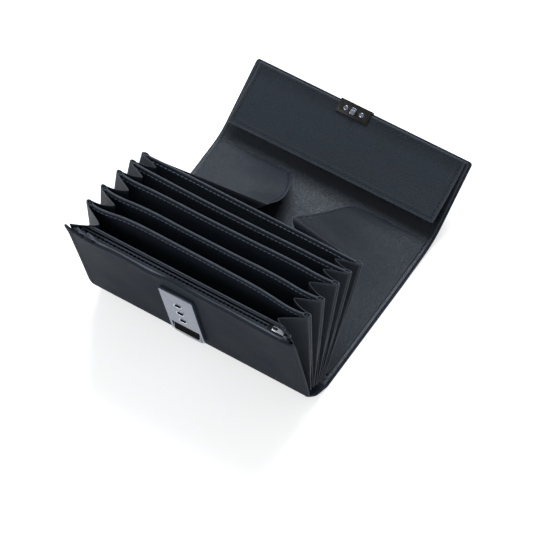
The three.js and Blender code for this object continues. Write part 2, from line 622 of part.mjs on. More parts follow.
// The thumb slide: a nose to push down, whose crest stands proud of the lock's face, and a
// hollow above it. Its lower edge is bowed.
function thumbSlide() {
  const low = LOCK_FOOT - THUMB_DROP;
  const crest = low + THUMB_NOSE;
  const top = LOCK_FOOT + THUMB_TOP - CLEARANCE;
  const under = BASE_TOP + CLEARANCE;
  const crestFace = LOCK_FACE + LOCK_WALL;
  const hollowFace = LOCK_FACE - LOCK_DEPTH / 3;
  const steps = 6;
  const profile = [[top, under], [low, under], [low, LOCK_FACE], [crest, crestFace]];
  for (let i = 1; i <= steps; i += 1) {
    const t = i / steps;
    const sink = (hollowFace - crestFace) * Math.sin((Math.PI * t) / 2);
    profile.push([crest + (top - crest) * t, crestFace + sink]);
  }
  const x0 = LOCK_CENTRE - THUMB_WIDTH / 2;
  const x1 = LOCK_CENTRE + THUMB_WIDTH / 2;
  const plan = new THREE.Shape();
  plan.moveTo(x0, low + THUMB_ARC);
  plan.quadraticCurveTo(LOCK_CENTRE, low - THUMB_ARC, x1, low + THUMB_ARC);
  plan.lineTo(x1, top + CLEARANCE);
  plan.lineTo(x0, top + CLEARANCE);
  return toSolid(rail(profile, x0, x1)).intersect(toSolid(sheet(plan, BASE_FACE, LOCK_FACE + LOCK_DEPTH)));
}

function buildLock() {
  const half = LOCK_WIDTH / 2;
  const x0 = LOCK_CENTRE - half;
  const x1 = LOCK_CENTRE + half;
  const inset = LOCK_WALL + CLEARANCE;
  const plateEdges = [x0 + inset, x1 - inset, LOCK_FOOT + inset, LOCK_TOP - inset];
  const plateShape = roundedShape(...plateEdges, LOCK_CORNER, lockHoles);
  add(front.group, 'lock_base_plate', sheet(plateShape, BASE_FACE, BASE_TOP), STEEL);

  const outer = sheet(roundedShape(x0, x1, LOCK_FOOT, LOCK_TOP, LOCK_CORNER), BASE_FACE, LOCK_FACE);
  const cavity = block(x0 + LOCK_WALL, x1 - LOCK_WALL, LOCK_FOOT + LOCK_WALL, LOCK_TOP - LOCK_WALL,
    BASE_FACE - LOCK_WALL, LOCK_FACE - LOCK_WALL);
  const thumbHalf = THUMB_WIDTH / 2 + CLEARANCE;
  const thumbWay = block(LOCK_CENTRE - thumbHalf, LOCK_CENTRE + thumbHalf, LOCK_FOOT - LOCK_WALL,
    LOCK_FOOT + THUMB_TOP, BASE_TOP, LOCK_FACE + LOCK_DEPTH);
  let housing = toSolid(outer).subtract(toSolid(cavity)).subtract(toSolid(thumbWay));
  const slotHeights = SLOT_HEIGHTS.map((height) => LOCK_FOOT + height);
  for (const s of slotHeights) {
    const slot = block(LOCK_CENTRE - SLOT_WIDTH / 2, LOCK_CENTRE + SLOT_WIDTH / 2, s - SLOT_HEIGHT / 2,
      s + SLOT_HEIGHT / 2, BASE_TOP, LOCK_FACE + LOCK_DEPTH);
    housing = housing.subtract(toSolid(slot));
  }
  add(front.group, 'lock_housing', fromSolid(housing), CHROME);
  add(front.group, 'lock_thumb_slide', fromSolid(thumbSlide()), CHROME);

  const latchHalf = LATCH_WIDTH / 2;
  const latchLow = LOCK_FOOT + THUMB_TOP + CLEARANCE;
  const latchTop = latchLow + LATCH_LENGTH;
  const latchXs = [LOCK_CENTRE - latchHalf, LOCK_CENTRE + latchHalf];
  const latchShape = roundedShape(...latchXs, latchLow, latchTop, LOCK_CORNER);
  const windowXs = [LOCK_CENTRE - LATCH_WINDOW, LOCK_CENTRE + LATCH_WINDOW];
  for (const s of slotHeights.filter((height) => height + LATCH_WINDOW < latchTop)) {
    const window = roundedShape(...windowXs, s - LATCH_WINDOW / 2, s + LATCH_WINDOW / 2, CLEARANCE);
    latchShape.holes.push(new THREE.Path(window.getPoints(4).reverse()));
  }
  const latchFace = BASE_TOP + CLEARANCE;
  add(front.group, 'lock_latch_plate', sheet(latchShape, latchFace, latchFace + LATCH_THICKNESS), STEEL);

  const springLow = latchTop + CLEARANCE + SPRING_WIRE / 2;
  const springLength = LOCK_TOP - LOCK_WALL - CLEARANCE - SPRING_WIRE / 2 - springLow;
  const springAxis = (BASE_TOP + LOCK_FACE - LOCK_WALL) / 2;
  class Helix extends THREE.Curve {
    getPoint(t, target = new THREE.Vector3()) {
      const turn = 2 * Math.PI * SPRING_TURNS * t;
      const radius = (SPRING_DIAMETER - SPRING_WIRE) / 2;
      const across = LOCK_CENTRE + radius * Math.cos(turn);
      return target.set(across, springLow + springLength * t, springAxis + radius * Math.sin(turn));
    }
  }
  const wire = new THREE.Shape().absarc(0, 0, SPRING_WIRE / 2, 0, 2 * Math.PI);
  const options = { steps: SPRING_TURNS * 8, curveSegments: 5, extrudePath: new Helix() };
  const spring = new THREE.ExtrudeGeometry(wire, options);
  add(front.group, 'lock_spring', spring, STEEL);

  const backHalf = BACKING_WIDTH / 2;
  const backLow = LOCK_FOOT + RIVET_HEIGHTS[0] - BACKING_MARGIN;
  const backTop = LOCK_FOOT + RIVET_HEIGHTS[1] + BACKING_MARGIN;
  const backXs = [LOCK_CENTRE - backHalf, LOCK_CENTRE + backHalf];
  const backing = roundedShape(...backXs, backLow, backTop, LOCK_CORNER, lockHoles);
  add(front.group, 'lock_backing_plate', sheet(backing, -CLEARANCE - LOCK_WALL, -CLEARANCE), STEEL);
  lockRivetPlaces.forEach(([x, s], i) => {
    const low = -2 * CLEARANCE - LOCK_WALL;
    const high = BASE_TOP + CLEARANCE / 3;
    const solid = rivet(x, s, low, high, RIVET_SHANK, RIVET_HEAD, RIVET_HEAD_HEIGHT);
    add(front.group, `lock_rivet_${i + 1}`, solid, STEEL);
  });
}

// Strike: a plate wrapped round the flap's free edge, two rivets and the catch hook.
const STRIKE_RIVET_LEVEL = FLAP_LENGTH - STRIKE_DEPTH / 2;
const strikeRivetXs = [LOCK_CENTRE - STRIKE_RIVET_ACROSS, LOCK_CENTRE + STRIKE_RIVET_ACROSS];
const strikeHoles = strikeRivetXs.map((x) => [x, STRIKE_RIVET_LEVEL, RIVET_SHANK + CLEARANCE]);

function buildStrike() {
  const innerLow = 2 * CLEARANCE + PANEL_THICKNESS;
  const innerHigh = innerLow + STRIKE_PLATE;
  const outerHigh = -INNER_FACE - CLEARANCE;
  const outerLow = outerHigh - STRIKE_PLATE;
  const end = FLAP_LENGTH + CLEARANCE;
  const start = FLAP_LENGTH - STRIKE_DEPTH;
  const wrap = [[start, outerLow], [end + STRIKE_PLATE, outerLow], [end + STRIKE_PLATE, innerHigh],
    [start, innerHigh], [start, innerLow], [end, innerLow], [end, outerHigh], [start, outerHigh]];
  let plate = toSolid(rail(wrap, LOCK_CENTRE - STRIKE_WIDTH / 2, LOCK_CENTRE + STRIKE_WIDTH / 2));
  for (const x of strikeRivetXs) {
    const hole = RIVET_SHANK + CLEARANCE;
    const drill = new THREE.CylinderGeometry(hole, hole, 4 * INNER_FACE, 12);
    plate = plate.subtract(toSolid(drill.rotateX(Math.PI / 2).translate(x, STRIKE_RIVET_LEVEL, 0)));
  }
  add(flap.group, 'strike_plate', fromSolid(plate), CHROME);
  strikeRivetXs.forEach((x, i) => {
    const solid = rivet(x, STRIKE_RIVET_LEVEL, outerLow - CLEARANCE, innerHigh + CLEARANCE,
      RIVET_SHANK, STRIKE_RIVET_HEAD, RIVET_HEAD_HEIGHT);
    add(flap.group, `strike_rivet_${['left', 'right'][i]}`, solid, CHROME);
  });
  const foot = innerHigh + CLEARANCE;
  const hookEnd = STRIKE_RIVET_LEVEL + HOOK_LENGTH / 2;
  const hookStart = hookEnd - HOOK_LENGTH;
  const lipHigh = foot + HOOK_RISE;
  const lipLow = lipHigh - HOOK_PLATE;
  const stemEnd = hookStart + HOOK_PLATE;
  const lipEnd = hookEnd - HOOK_LENGTH / 3;
  const hook = [[hookStart, foot], [hookEnd, foot], [hookEnd, foot + HOOK_PLATE], [stemEnd, foot + HOOK_PLATE],
    [stemEnd, lipLow], [lipEnd, lipLow], [lipEnd, lipHigh], [hookStart, lipHigh]];
  const hookXs = [LOCK_CENTRE - HOOK_WIDTH / 2, LOCK_CENTRE + HOOK_WIDTH / 2];
  add(flap.group, 'strike_hook', rail(hook, ...hookXs), CHROME);
}

buildBack();
buildBottomStrip();
buildFlap(strikeHoles);
buildInnerPanel(strikeHoles);
buildFrontCover(lockHoles);
buildPartition();
buildDividers();
buildPleats();
buildCoinLeaves();
buildCoinFrontLeaves();
buildZip();
buildSlider();
buildLock();
buildStrike();

export default wallet;
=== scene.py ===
"""An open waiter's wallet in dark leather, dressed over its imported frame.

Lengths in this file are in millimetres until a mesh is made, which is in metres. A
panel's own coordinates are x across, s from its lower edge to its free edge, and n
off its face.
"""
import math

import bmesh
import bpy
import numpy as np
from mathutils import Matrix, Vector


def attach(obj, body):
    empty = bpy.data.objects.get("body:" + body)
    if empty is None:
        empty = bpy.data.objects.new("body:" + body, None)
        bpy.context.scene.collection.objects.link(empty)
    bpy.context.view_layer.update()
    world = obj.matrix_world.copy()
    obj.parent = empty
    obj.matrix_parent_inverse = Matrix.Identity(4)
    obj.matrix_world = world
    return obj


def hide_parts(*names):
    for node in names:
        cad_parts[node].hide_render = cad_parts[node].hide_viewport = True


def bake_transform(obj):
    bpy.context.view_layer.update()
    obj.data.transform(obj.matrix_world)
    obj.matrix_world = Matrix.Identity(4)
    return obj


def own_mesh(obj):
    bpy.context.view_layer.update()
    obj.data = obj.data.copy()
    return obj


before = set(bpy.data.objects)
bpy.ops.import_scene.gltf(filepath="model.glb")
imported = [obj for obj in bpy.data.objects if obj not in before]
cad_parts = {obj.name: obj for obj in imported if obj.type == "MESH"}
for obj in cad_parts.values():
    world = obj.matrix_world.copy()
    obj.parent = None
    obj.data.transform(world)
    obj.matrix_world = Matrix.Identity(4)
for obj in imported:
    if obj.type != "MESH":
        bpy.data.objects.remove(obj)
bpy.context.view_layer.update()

bl_info = {
    "name": "Waiter's Wallet",
    "version": (1, 0, 0),
    "blender": (4, 5, 0),
    "location": "3D View > Sidebar > Wallet",
    "description": "Dresses an open waiter's wallet over its frame",
    "category": "Object",
}

MM = 0.001
UV_SCALE = 4

# Sizes of the frame's leather body, in millimetres, and its rest angles in degrees.
HALF_COVER = 90.0
HALF_DIVIDER = 87.5
BACK_LENGTH = 103.5
BAND_LENGTH = 41.5
FLAP_LENGTH = 61.7
FRONT_HEIGHT = 95.0
DIVIDER_HEIGHT = 99.0
STRIP_LENGTH = 22.5
LEATHER = 1.4
LINING = 0.8
DIVIDER_THICKNESS = 1.6
INNER_FACE = 2.5
BOTTOM = -BACK_LENGTH / 2
FOLD = BACK_LENGTH / 2
STRIP_ANGLE = 149.6
FRONT_ANGLE = 103.7
DIVIDER_ANGLES = (94.0, 86.1, 77.1, 69.5, 62.6)
BAND_ANGLE = 4.0
FLAP_ANGLE = 35.0
DIVIDER_BODIES = ("divider_1", "divider_2", "divider_3", "divider_4", "rear_divider")
SIDES = ((-1, "left"), (1, "right"))
POCKET_FOOT = 1.3
POCKET_MOUTH = 7.0
LOCK_CENTRE = -5.0
LOCK_FOOT = 10.0
LOCK_FACE = 4.4
SLOT_HEIGHTS = (25.5, 38.0, 50.5)
THUMB_WIDTH = 22.0

# Where on the band the lower and upper sheets meet in a butt joint, how round their cut
# edges are there, and how far from them the next stations lie.
STEP_PLACE = 16.0
BUTT_ROUND, BUTT_STATION = 0.02, 0.15

# How far the bottom strip bows outward in its middle.
STRIP_BOW = 0.7

# How far a cover's sheet ends inside its CAD side, and how round its corners are.
COVER_CLEARANCE = 0.1
CORNER_RADIUS = 2.5

# How much thicker than in the CAD covers and linings are, on each face.
COVER_SWELL, LINING_SWELL = 0.05, 0.08

# How far from the rim a lining's stitches run, and the gap they leave for the strike.
LINING_LINE = 2.2
STRIKE_GAP = 14.0

# Stations near a rim, by their distance from it: a cover's and a thinner sheet's.
COVER_RIM = (0.9, 1.8, 2.4, 3.0, 3.6, 4.4, 5.5)
SHEET_RIM = (0.5, 1.0, 1.6, 2.3, 3.0, 3.7)

# A pleat's depth at the divider's top, its V's parameter at each side edge, and the
# radius of the V's tip as a share of its half width.
PLEAT_DEPTH = 16.5
PLEAT_REACH = 30.0
PLEAT_TIP = 0.05

# How far each divider's free edge stands off its flat plane, at places across it. Minus
# is away from the front cover.
SWAY_PLACES = (-87.5, -80, -70, -60, -50, -20, 20, 50, 60, 70, 80, 87.5)
DIVIDER_SWAY = (
    (0, 1.4, 0.8, -0.8, -1.5, -1.6, -1.3, -0.5, 0.4, 1.4, 1.2, 0),
    (0, 1.8, 2.0, 1.1, 0.5, 0.6, 0.5, 0.2, 0.6, 1.3, 1.0, 0),
    (0, 1.6, 2.0, 1.4, 1.2, 1.3, 0.9, 0.3, 0.4, 0.9, 0.7, 0),
    (0, 1.3, 1.8, 2.1, 2.3, 2.8, 2.4, 1.8, 1.8, 1.6, 1.0, 0),
    (0, 0.2, -0.2, -0.4, -0.5, -0.4, -0.5, -0.6, -0.5, -0.3, 0, 0),
)
FRONT_PLACES = (-90, -80, -70, -53, -38, -20, -8, 11, 39, 59, 73, 82, 88, 90)
FRONT_SWAY = (0.9, 2.1, 2.7, 1.7, 1.9, 2.4, 0.6, 1.3, 1.5, 2.1, 2.4, 2.1, 1.5, 1.3)

# The back leaves' inner edges: place along the back, distance from the middle and
# height off the lining. They end inside the closed wallet.
LEAF_END = 142.0
LEAF_EDGES = {
    -1: ((6.0, 86.0, 0.3), (30.0, 64.0, 11.0), (55.0, 40.0, 22.5), (75.0, 22.5, 32.0),
         (86.5, 12.2, 38.0), (97.0, 10.0, 32.5), (107.0, 10.8, 26.0), (119.0, 14.0, 20.0),
         (130.0, 19.5, 12.5), (137.0, 24.0, 6.0), (LEAF_END, 27.0, 0.3)),
    1: ((6.0, 86.0, 0.3), (30.0, 63.0, 11.5), (55.0, 38.0, 23.5), (75.0, 19.0, 33.5),
        (86.5, 9.3, 38.7), (95.0, 15.0, 36.4), (112.0, 21.5, 26.0), (129.0, 26.0, 14.0),
        (137.0, 27.5, 6.0), (LEAF_END, 28.5, 0.3)),
}

# Leathers: material, its colour's property, roughness (None is the look's own), grain
# scale, grain depth, wear and painted rim highlight, mottle and shine.
LEATHERS = {
    "outer": ("Outer Leather", "outer_colour", None, 260, 0.8, 0.55, 0.35, 0.05),
    "inner": ("Divider Leather", "inner_colour", 0.5, 270, 0.8, 1.0, 0.35, 0.2),
    # The lining and the gussets are one leather in two tones: the lining darker as painted shade, the gussets
    # lighter as painted light.
    "lining": ("Lining Leather", "lining_colour", 0.36, 300, 0.5, 0.8, 0.4, 0.36),
    "gusset": ("Gusset Leather", "gusset_colour", 0.40, 270, 0.8, 0.9, 0.4, 0.35),
}

# Metals, plastic and painted shade or highlight: material, colour (None is the look's
# plating), roughness, scuffs, metallic share and shine.
METALS = {
    "chrome": ("Bright Plating", None, 0.16, 0.14, 1.0, 0.5),
    # A lighter copy of the plating: painted highlight on the slot lips and the zip puller.
    "rims": ("Polished Rims", (0.8, 0.83, 0.9), 0.22, 0.1, 1.0, 0.5),
    # A dark copy of the plating: painted dark reflection on the strike plate.
    "dark": ("Dark Plating", (0.05, 0.05, 0.046), 0.3, 0.25, 1.0, 0.5),
    "steel": ("Plain Steel", (0.32, 0.34, 0.38), 0.3, 0.25, 1.0, 0.5),
    "black": ("Black Metal", (0.03, 0.034, 0.045), 0.35, 0.25, 0.6, 0.5),
    # Coil grey lighter than the real teeth: painted light against the zip channel's shade.
    "coil": ("Zip Coil", (0.15, 0.18, 0.24), 0.5, 0.2, 0.0, 0.5),
    # Painted shade: a dark sheet inside the plated slots.
    "shade": ("Slot Shade", (0.006, 0.006, 0.007), 0.7, 0.1, 0.0, 0.1),
    # Painted shade: the dark reflection of the thumb slide's plated hollow.
    "grip": ("Grip Lacquer", (0.006, 0.007, 0.008), 0.75, 0.2, 0.0, 0.1),
}

# The camera that was fitted to the photograph: focal length and picture in pixels, its
# place in metres, and its right and up.
FOCAL_PIXELS, PICTURE_PIXELS, SENSOR = 2952.411, 540, 36
CAMERA_PLACE = (0.638169, -1.030088, 1.681847)
CAMERA_RIGHT = (0.846295, 0.532598, 0.011135)
CAMERA_UP = (-0.436623, 0.681513, 0.587282)

# Softboxes: place, aim and size in metres, and power in watts.
LIGHT_COLOUR = (0.93, 0.965, 1)
LIGHTS = {
    "Top softbox": ((-0.3, 0.75, 1.2), (0, 0, 0), (1.0, 0.8), 16.5),
    "Front softbox": ((-0.5, -1.25, 0.75), (0, 0, 0.03), (0.9, 0.7), 4.2),
    "Left softbox": ((-1.1, -0.5, 0.5), (0, -0.03, 0.05), (0.5, 0.9), 0.65),
}


def line_at(foot, degrees):
    """A profile line's point function: foot plus s along the angle plus n square to it."""
    c, k = math.cos(math.radians(degrees)), math.sin(math.radians(degrees))
    return lambda s, n: (foot[0] + s * c - n * k, foot[1] + s * k + n * c)


STRIP = line_at((BOTTOM, INNER_FACE), STRIP_ANGLE)
FRONT_FOOT = STRIP(STRIP_LENGTH, 0)
FRONT = line_at(FRONT_FOOT, FRONT_ANGLE)
DIVIDER_FEET = [STRIP(1.6 + 4 * (4 - i), -1.3) for i in range(5)]
DIVIDERS = [line_at(foot, angle) for foot, angle in zip(DIVIDER_FEET, DIVIDER_ANGLES)]
BAND = line_at((FOLD, INNER_FACE), BAND_ANGLE)
FLAP_FOOT = BAND(BAND_LENGTH, 0)
FLAP = line_at(FLAP_FOOT, FLAP_ANGLE)


def smooth(t):
    """A soft step from 0 to 1 as t goes from 0 to 1."""
    t = np.clip(t, 0, 1)
    return t * t * (3 - 2 * t)


def eased(x, places, values):
    """A smooth curve through values at places: cubic pieces whose slope at each place
    is the slope between its neighbours."""
    places, values = np.array(places, float), np.array(values, float)
    slopes = np.gradient(values, places)
    x = np.clip(x, places[0], places[-1])
    i = np.clip(np.searchsorted(places, x, side="right") - 1, 0, len(places) - 2)
    width = places[i + 1] - places[i]
    u = (x - places[i]) / width
    start = (1 + 2 * u) * (1 - u) ** 2 * values[i] + u * (1 - u) ** 2 * width * slopes[i]
    return start + u * u * (3 - 2 * u) * values[i + 1] - u * u * (1 - u) * width * slopes[i + 1]


def flat_panel(foot, degrees, sway=None):
    """A flat panel's place function: x across, s up the slope and n off it, with the
    sway at x and s added to n."""
    line = line_at(foot, degrees)

    def place(x, s, n):
        x, s, n = np.broadcast_arrays(x, s, n)
        return np.stack([x + 0.0, *line(s, n + (sway(x, s) if sway else 0))], -1)

    return place


def divider_sway(i):
    """The divider's sway: its free edge's, times the 1.5th power of the share of height."""
    return lambda x, s: (eased(x, SWAY_PLACES, DIVIDER_SWAY[i])
                         * np.clip(s / DIVIDER_HEIGHT, 0, 1) ** 1.5)


def front_sway(x, s):
    """The front cover's sway: its free edge's, times the square of the share of height,
    and none where the lock holds the leather flat, within 15 mm of its middle and 78 mm
    of the foot."""
    held = (1 - smooth((np.abs(x - LOCK_CENTRE) - 15) / 16)) * (1 - smooth((s - 78) / 17))
    return eased(x, FRONT_PLACES, FRONT_SWAY) * np.clip(s / FRONT_HEIGHT, 0, 1) ** 2 * (1 - held)


def bent_path(low, corner, high, radius):
    """Place function of a sheet whose profile runs from low to high by the corner, where
    an arc touches both straight lines. Returns it with the profile's length."""
    low, corner, high = (np.array(p, float) for p in (low, corner, high))
    d0 = (corner - low) / np.linalg.norm(corner - low)
    d1 = (high - corner) / np.linalg.norm(high - corner)
    turn = math.atan2(d0[0] * d1[1] - d0[1] * d1[0], d0 @ d1)
    side = math.copysign(1, turn) * np.array([-d0[1], d0[0]])
    phi = np.linspace(0, abs(turn), 15)
    first = corner - radius * math.tan(abs(turn) / 2) * d0
    arc = first + radius * (np.sin(phi)[:, None] * d0 + (1 - np.cos(phi))[:, None] * side)
    ys, zs = np.concatenate([[low], arc, [high]]).T
    turned = math.copysign(1, turn) * np.concatenate([[0], phi, phi[-1:]])
    angles = math.atan2(d0[1], d0[0]) + turned
    length = np.concatenate([[0], np.cumsum(np.hypot(np.diff(ys), np.diff(zs)))])

    def place(x, s, n):
        x, s, n = np.broadcast_arrays(x, s, n)
        a = np.interp(s, length, angles)
        y, z = np.interp(s, length, ys), np.interp(s, length, zs)
        return np.stack([x + 0.0, y - n * np.sin(a), z + n * np.cos(a)], -1)

    return place, float(length[-1])


def crossing(p, p_angle, q, q_angle):
    """Where two profile lines meet."""
    a, b = math.radians(p_angle), math.radians(q_angle)
    m = np.array([[math.cos(a), -math.cos(b)], [math.sin(a), -math.sin(b)]])
    t = np.linalg.solve(m, np.array(q) - np.array(p))[0]
    return p[0] + t * math.cos(a), p[1] + t * math.sin(a)


def stations(low, high, step, round_low, round_high, extra=()):
    """Stations from low to high, about step apart, with a quarter circle's stations at
    each rounded end. Returns them with the share of full thickness at each, the sine
    along the quarter circle."""
    phi = np.linspace(0, np.pi / 2, 5)[:-1]
    first = low + round_low * (1 - np.cos(phi))
    last = high - round_high * (1 - np.cos(phi))[::-1]
    a, b = low + round_low, high - round_high
    middle = np.linspace(a, b, max(2, int(round((b - a) / step)) + 1))
    if len(extra):
        inside = np.array([e for e in extra if a + 0.05 < e < b - 0.05])
        middle = np.unique(np.round(np.concatenate([middle, inside]), 4))
    share = np.concatenate([np.sin(phi), np.ones(len(middle)), np.sin(phi)[::-1]])
    return np.concatenate([first, middle, last]), share


def in_from(limit, distances):
    """Stations at the distances in from the limit."""
    return [limit - d for d in distances]


def both_ways(places):
    """The places on the right and their mirror images on the left."""
    return [-p for p in places] + list(places)


def full_turn(count):
    """Angles of count places round a circle."""
    return np.linspace(0, 2 * np.pi, count + 1)[:-1]


def grid_faces(index):
    """Four-cornered faces of a grid of vertex numbers."""
    corners = [index[:-1, :-1], index[:-1, 1:], index[1:, 1:], index[1:, :-1]]
    return np.stack(corners, -1).reshape(-1, 4)


def new_piece(name, points, faces, uv=None, edge=None):
    """Makes a mesh object from points in millimetres and arrays of faces. The edge
    value of each point, from 0 to 1, says how near it is to a rim, which the leather
    paints lighter as wear and as painted highlight."""
    mesh = bpy.data.meshes.new(name)
    points = np.asarray(points, float).reshape(-1, 3) * MM
    loops = np.concatenate([f.ravel() for f in faces]).astype(np.int32)
    totals = np.concatenate([np.full(len(f), f.shape[1]) for f in faces])
    starts = np.concatenate([[0], np.cumsum(totals)[:-1]]).astype(np.int32)
    mesh.vertices.add(len(points))
    mesh.vertices.foreach_set("co", points.ravel())
    mesh.loops.add(len(loops))
    mesh.loops.foreach_set("vertex_index", loops)
    mesh.polygons.add(len(starts))
    mesh.polygons.foreach_set("loop_start", starts)
    mesh.update(calc_edges=True)
    if mesh.validate():
        raise RuntimeError(name + " has broken faces")
    mesh.shade_smooth()
    if uv is not None:
        layer = mesh.uv_layers.new(name="UVMap")
        flat = np.asarray(uv, float).reshape(-1, 2) * MM * UV_SCALE
        layer.data.foreach_set("uv", flat[loops].ravel())
    values = np.zeros(len(points)) if edge is None else np.asarray(edge, float).ravel()
    attribute = mesh.attributes.new("edge", "FLOAT", "POINT")
    attribute.data.foreach_set("value", values.astype(np.float32))
    obj = bpy.data.objects.new(name, mesh)
    bpy.context.scene.collection.objects.link(obj)
    return obj


def ends_unworn(s):
    """The worn distance of a sheet whose ends aren't rims."""
    return s * 0 + 9


def leather_sheet(name, xs, ss, place, half, relief=None, trim=None, worn=None):
    """A closed sheet between two faces that meet in a rounded rim: n is plus and minus
    half the thickness times both stations' shares, plus the relief. The trim narrows
    the sheet at each s. The worn distance sets how far the edge value reaches in, the
    rim that the leather paints lighter as wear and as painted highlight."""
    (x, x_share), (s, s_share) = xs, ss
    X, S = np.meshgrid(x, s)
    share = np.outer(s_share, x_share)
    if trim is not None:
        X = trim(X, S)
    rise = relief(X, S) if relief is not None else np.zeros_like(X)
    rise, rise_back = rise if isinstance(rise, tuple) else (rise, rise)
    from_side = np.abs(X).max(1, keepdims=True) - np.abs(X)
    from_end = np.minimum(S - s[0], s[-1] - S) if worn is None else worn(S)
    edge = np.clip(1 - np.minimum(from_side, from_end) / 1.5, 0, 1)
    top = np.arange(X.size).reshape(X.shape)
    inner = np.zeros(X.shape, bool)
    inner[1:-1, 1:-1] = True
    low = top.copy()
    low[inner] = X.size + np.arange(inner.sum())
    upper = place(X, S, (half + rise) * share)
    lower = place(X, S, -(half + rise_back) * share)
    points = np.concatenate([upper.reshape(-1, 3), lower[inner]])
    uv = np.stack([X, S], -1)
    uv = np.concatenate([uv.reshape(-1, 2), uv[inner]])
    edges = np.concatenate([edge.ravel(), edge[inner]])
    return new_piece(name, points, [grid_faces(top), grid_faces(low)[:, ::-1]], uv, edges)


def ring_solid(name, rings, uv=None, edge=None):
    """A closed solid through rings of points that lie in order, capped at both ends."""
    count, around = rings.shape[:2]
    index = np.arange(count * around).reshape(count, around)
    wrapped = np.concatenate([index, index[:, :1]], 1)
    return new_piece(name, rings, [grid_faces(wrapped), index[:1, ::-1], index[-1:, :]], uv, edge)


def round_corners(half, length, radius, start=0.0, start_radius=0.0):
    """Trim function that rounds a sheet's corners at its free end, and if wanted at its
    start: x shrinks by the gap between the corner's circle and its square."""
    def gap(d, r):
        return r - np.sqrt(np.maximum(r * r - (r - np.clip(d, 0, r)) ** 2, 0))

    def trim(x, s):
        cut = gap(length - s, radius)
        if start_radius:
            cut = np.maximum(cut, gap(s - start, start_radius))
        return x * (half - cut) / half

    return trim


def hem(distance, width, rise, line, dip):
    """Relief of a turned edge: it stands up within width of the rim, and the stitch
    line presses a shallow groove into it."""
    step = rise * (1 - smooth((distance - width) / 1.2))
    return step - dip * np.exp(-((distance - line) / 0.55) ** 2)


def hemmed(length, limit, *shape):
    """Relief of a sheet with a hem at its free end and sides, and a plain back."""
    def relief(x, s):
        d = np.minimum(length - s, limit - np.abs(x))
        return hem(d, *shape), 0 * d

    return relief


def stitch_run(place, waypoints, n, length=2.6, thick=0.3, lift=0.1):
    """Stitches along a run of waypoints (x, s): each is a short thread from a hole to
    the next, a tube of six sides whose middle stands up from the face by a parabola.
    Returns its rings."""
    way = np.array(waypoints, float)
    reach = np.concatenate([[0], np.cumsum(np.hypot(*np.diff(way, axis=0).T))])
    pitch = bpy.context.scene.wallet_sizes.stitch_pitch / MM
    count = max(1, int(reach[-1] // pitch))
    middle = (np.arange(count) + 0.5) * reach[-1] / count
    holes = [[np.interp(middle + half, reach, way[:, axis]) for axis in (0, 1)]
             for half in (-length / 2, length / 2)]
    first, last = (place(*hole, n) for hole in holes)
    up = place(*holes[0], n + np.sign(n)) - first
    along = last - first
    across = np.cross(along, up)
    across /= np.linalg.norm(across, axis=-1, keepdims=True)
    t = np.array([0, 0.12, 0.35, 0.65, 0.88, 1.0])
    size = thick * np.array([0.35, 0.8, 1, 1, 0.8, 0.35])
    height = lift * 4 * t * (1 - t) - 0.12 * thick
    phi = full_turn(6)
    centre = first[:, None] + along[:, None] * t[:, None] + up[:, None] * height[:, None]
    side = across[:, None, None] * (size[:, None] * np.cos(phi))[..., None]
    rise = up[:, None, None] * (0.8 * size[:, None] * np.sin(phi))[..., None]
    return centre[:, :, None] + side + rise


def stitch_piece(name, *runs):
    """One mesh of all the stitches in the runs."""
    rings = np.concatenate(runs)
    index = np.arange(rings.size // 3).reshape(rings.shape[:3])
    wrapped = np.concatenate([index, index[:, :, :1]], 2)
    sides = [grid_faces(stitch) for stitch in wrapped]
    return new_piece(name, rings, [np.concatenate(sides), index[:, 0, ::-1], index[:, -1, :]])


def outward(obj, merged=False):
    """Turns every face of a closed mesh so that it points out. If wanted, joins doubled
    corners and flat faces first."""
    b = bmesh.new()
    b.from_mesh(obj.data)
    if merged:
        bmesh.ops.remove_doubles(b, verts=b.verts, dist=1e-6)
        bmesh.ops.dissolve_limit(b, angle_limit=0.02, verts=b.verts, edges=b.edges)
    bmesh.ops.recalc_face_normals(b, faces=b.faces)
    b.to_mesh(obj.data)
    b.free()
    return obj


def dress(obj, material):
    """Gives an object its material."""
    obj.data.materials.clear()
    obj.data.materials.append(material)


def settle(obj, material, slot, body, *replaced):
    """Dresses a piece and, given one body, ties it to that body. Given two bodies and the
    two places of the profile instead, it reads none of them and only bakes the piece's
    place into its mesh."""
    dress(obj, material)
    if isinstance(body, str):
        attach(obj, body)
    else:
        first, second, a, b = body
        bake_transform(obj)
    if replaced:
        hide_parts(*replaced)


class Tree:
    """A node tree with short calls that make its nodes and their links."""

    def __init__(self, node_tree):
        self.nodes, self.links = node_tree.nodes, node_tree.links

    def feed(self, node, inputs):
        """Links each named input to the socket given for it, or sets it to the value."""
        for key, value in inputs.items():
            if isinstance(value, bpy.types.NodeSocket):
                self.links.new(value, node.inputs[key])
            else:
                node.inputs[key].default_value = value

    def add(self, kind, inputs, **settings):
        """Makes a node and returns its outputs."""
        node = self.nodes.new("ShaderNode" + kind)
        for key, value in settings.items():
            setattr(node, key, value)
        self.feed(node, inputs)
        return node.outputs

    def math(self, operation, *values, clamp=False):
        return self.add("Math", dict(enumerate(values)), operation=operation, use_clamp=clamp)[0]

    def mix(self, factor, a, b):
        return self.add("Mix", {0: factor, 6: a, 7: b}, data_type="RGBA")[2]

    def bump(self, shader, height, strength, distance):
        """Bumps a shader's surface by a height."""
        made = self.add("Bump", {"Height": height, "Strength": strength, "Distance": distance})
        self.feed(shader, {"Normal": made["Normal"]})


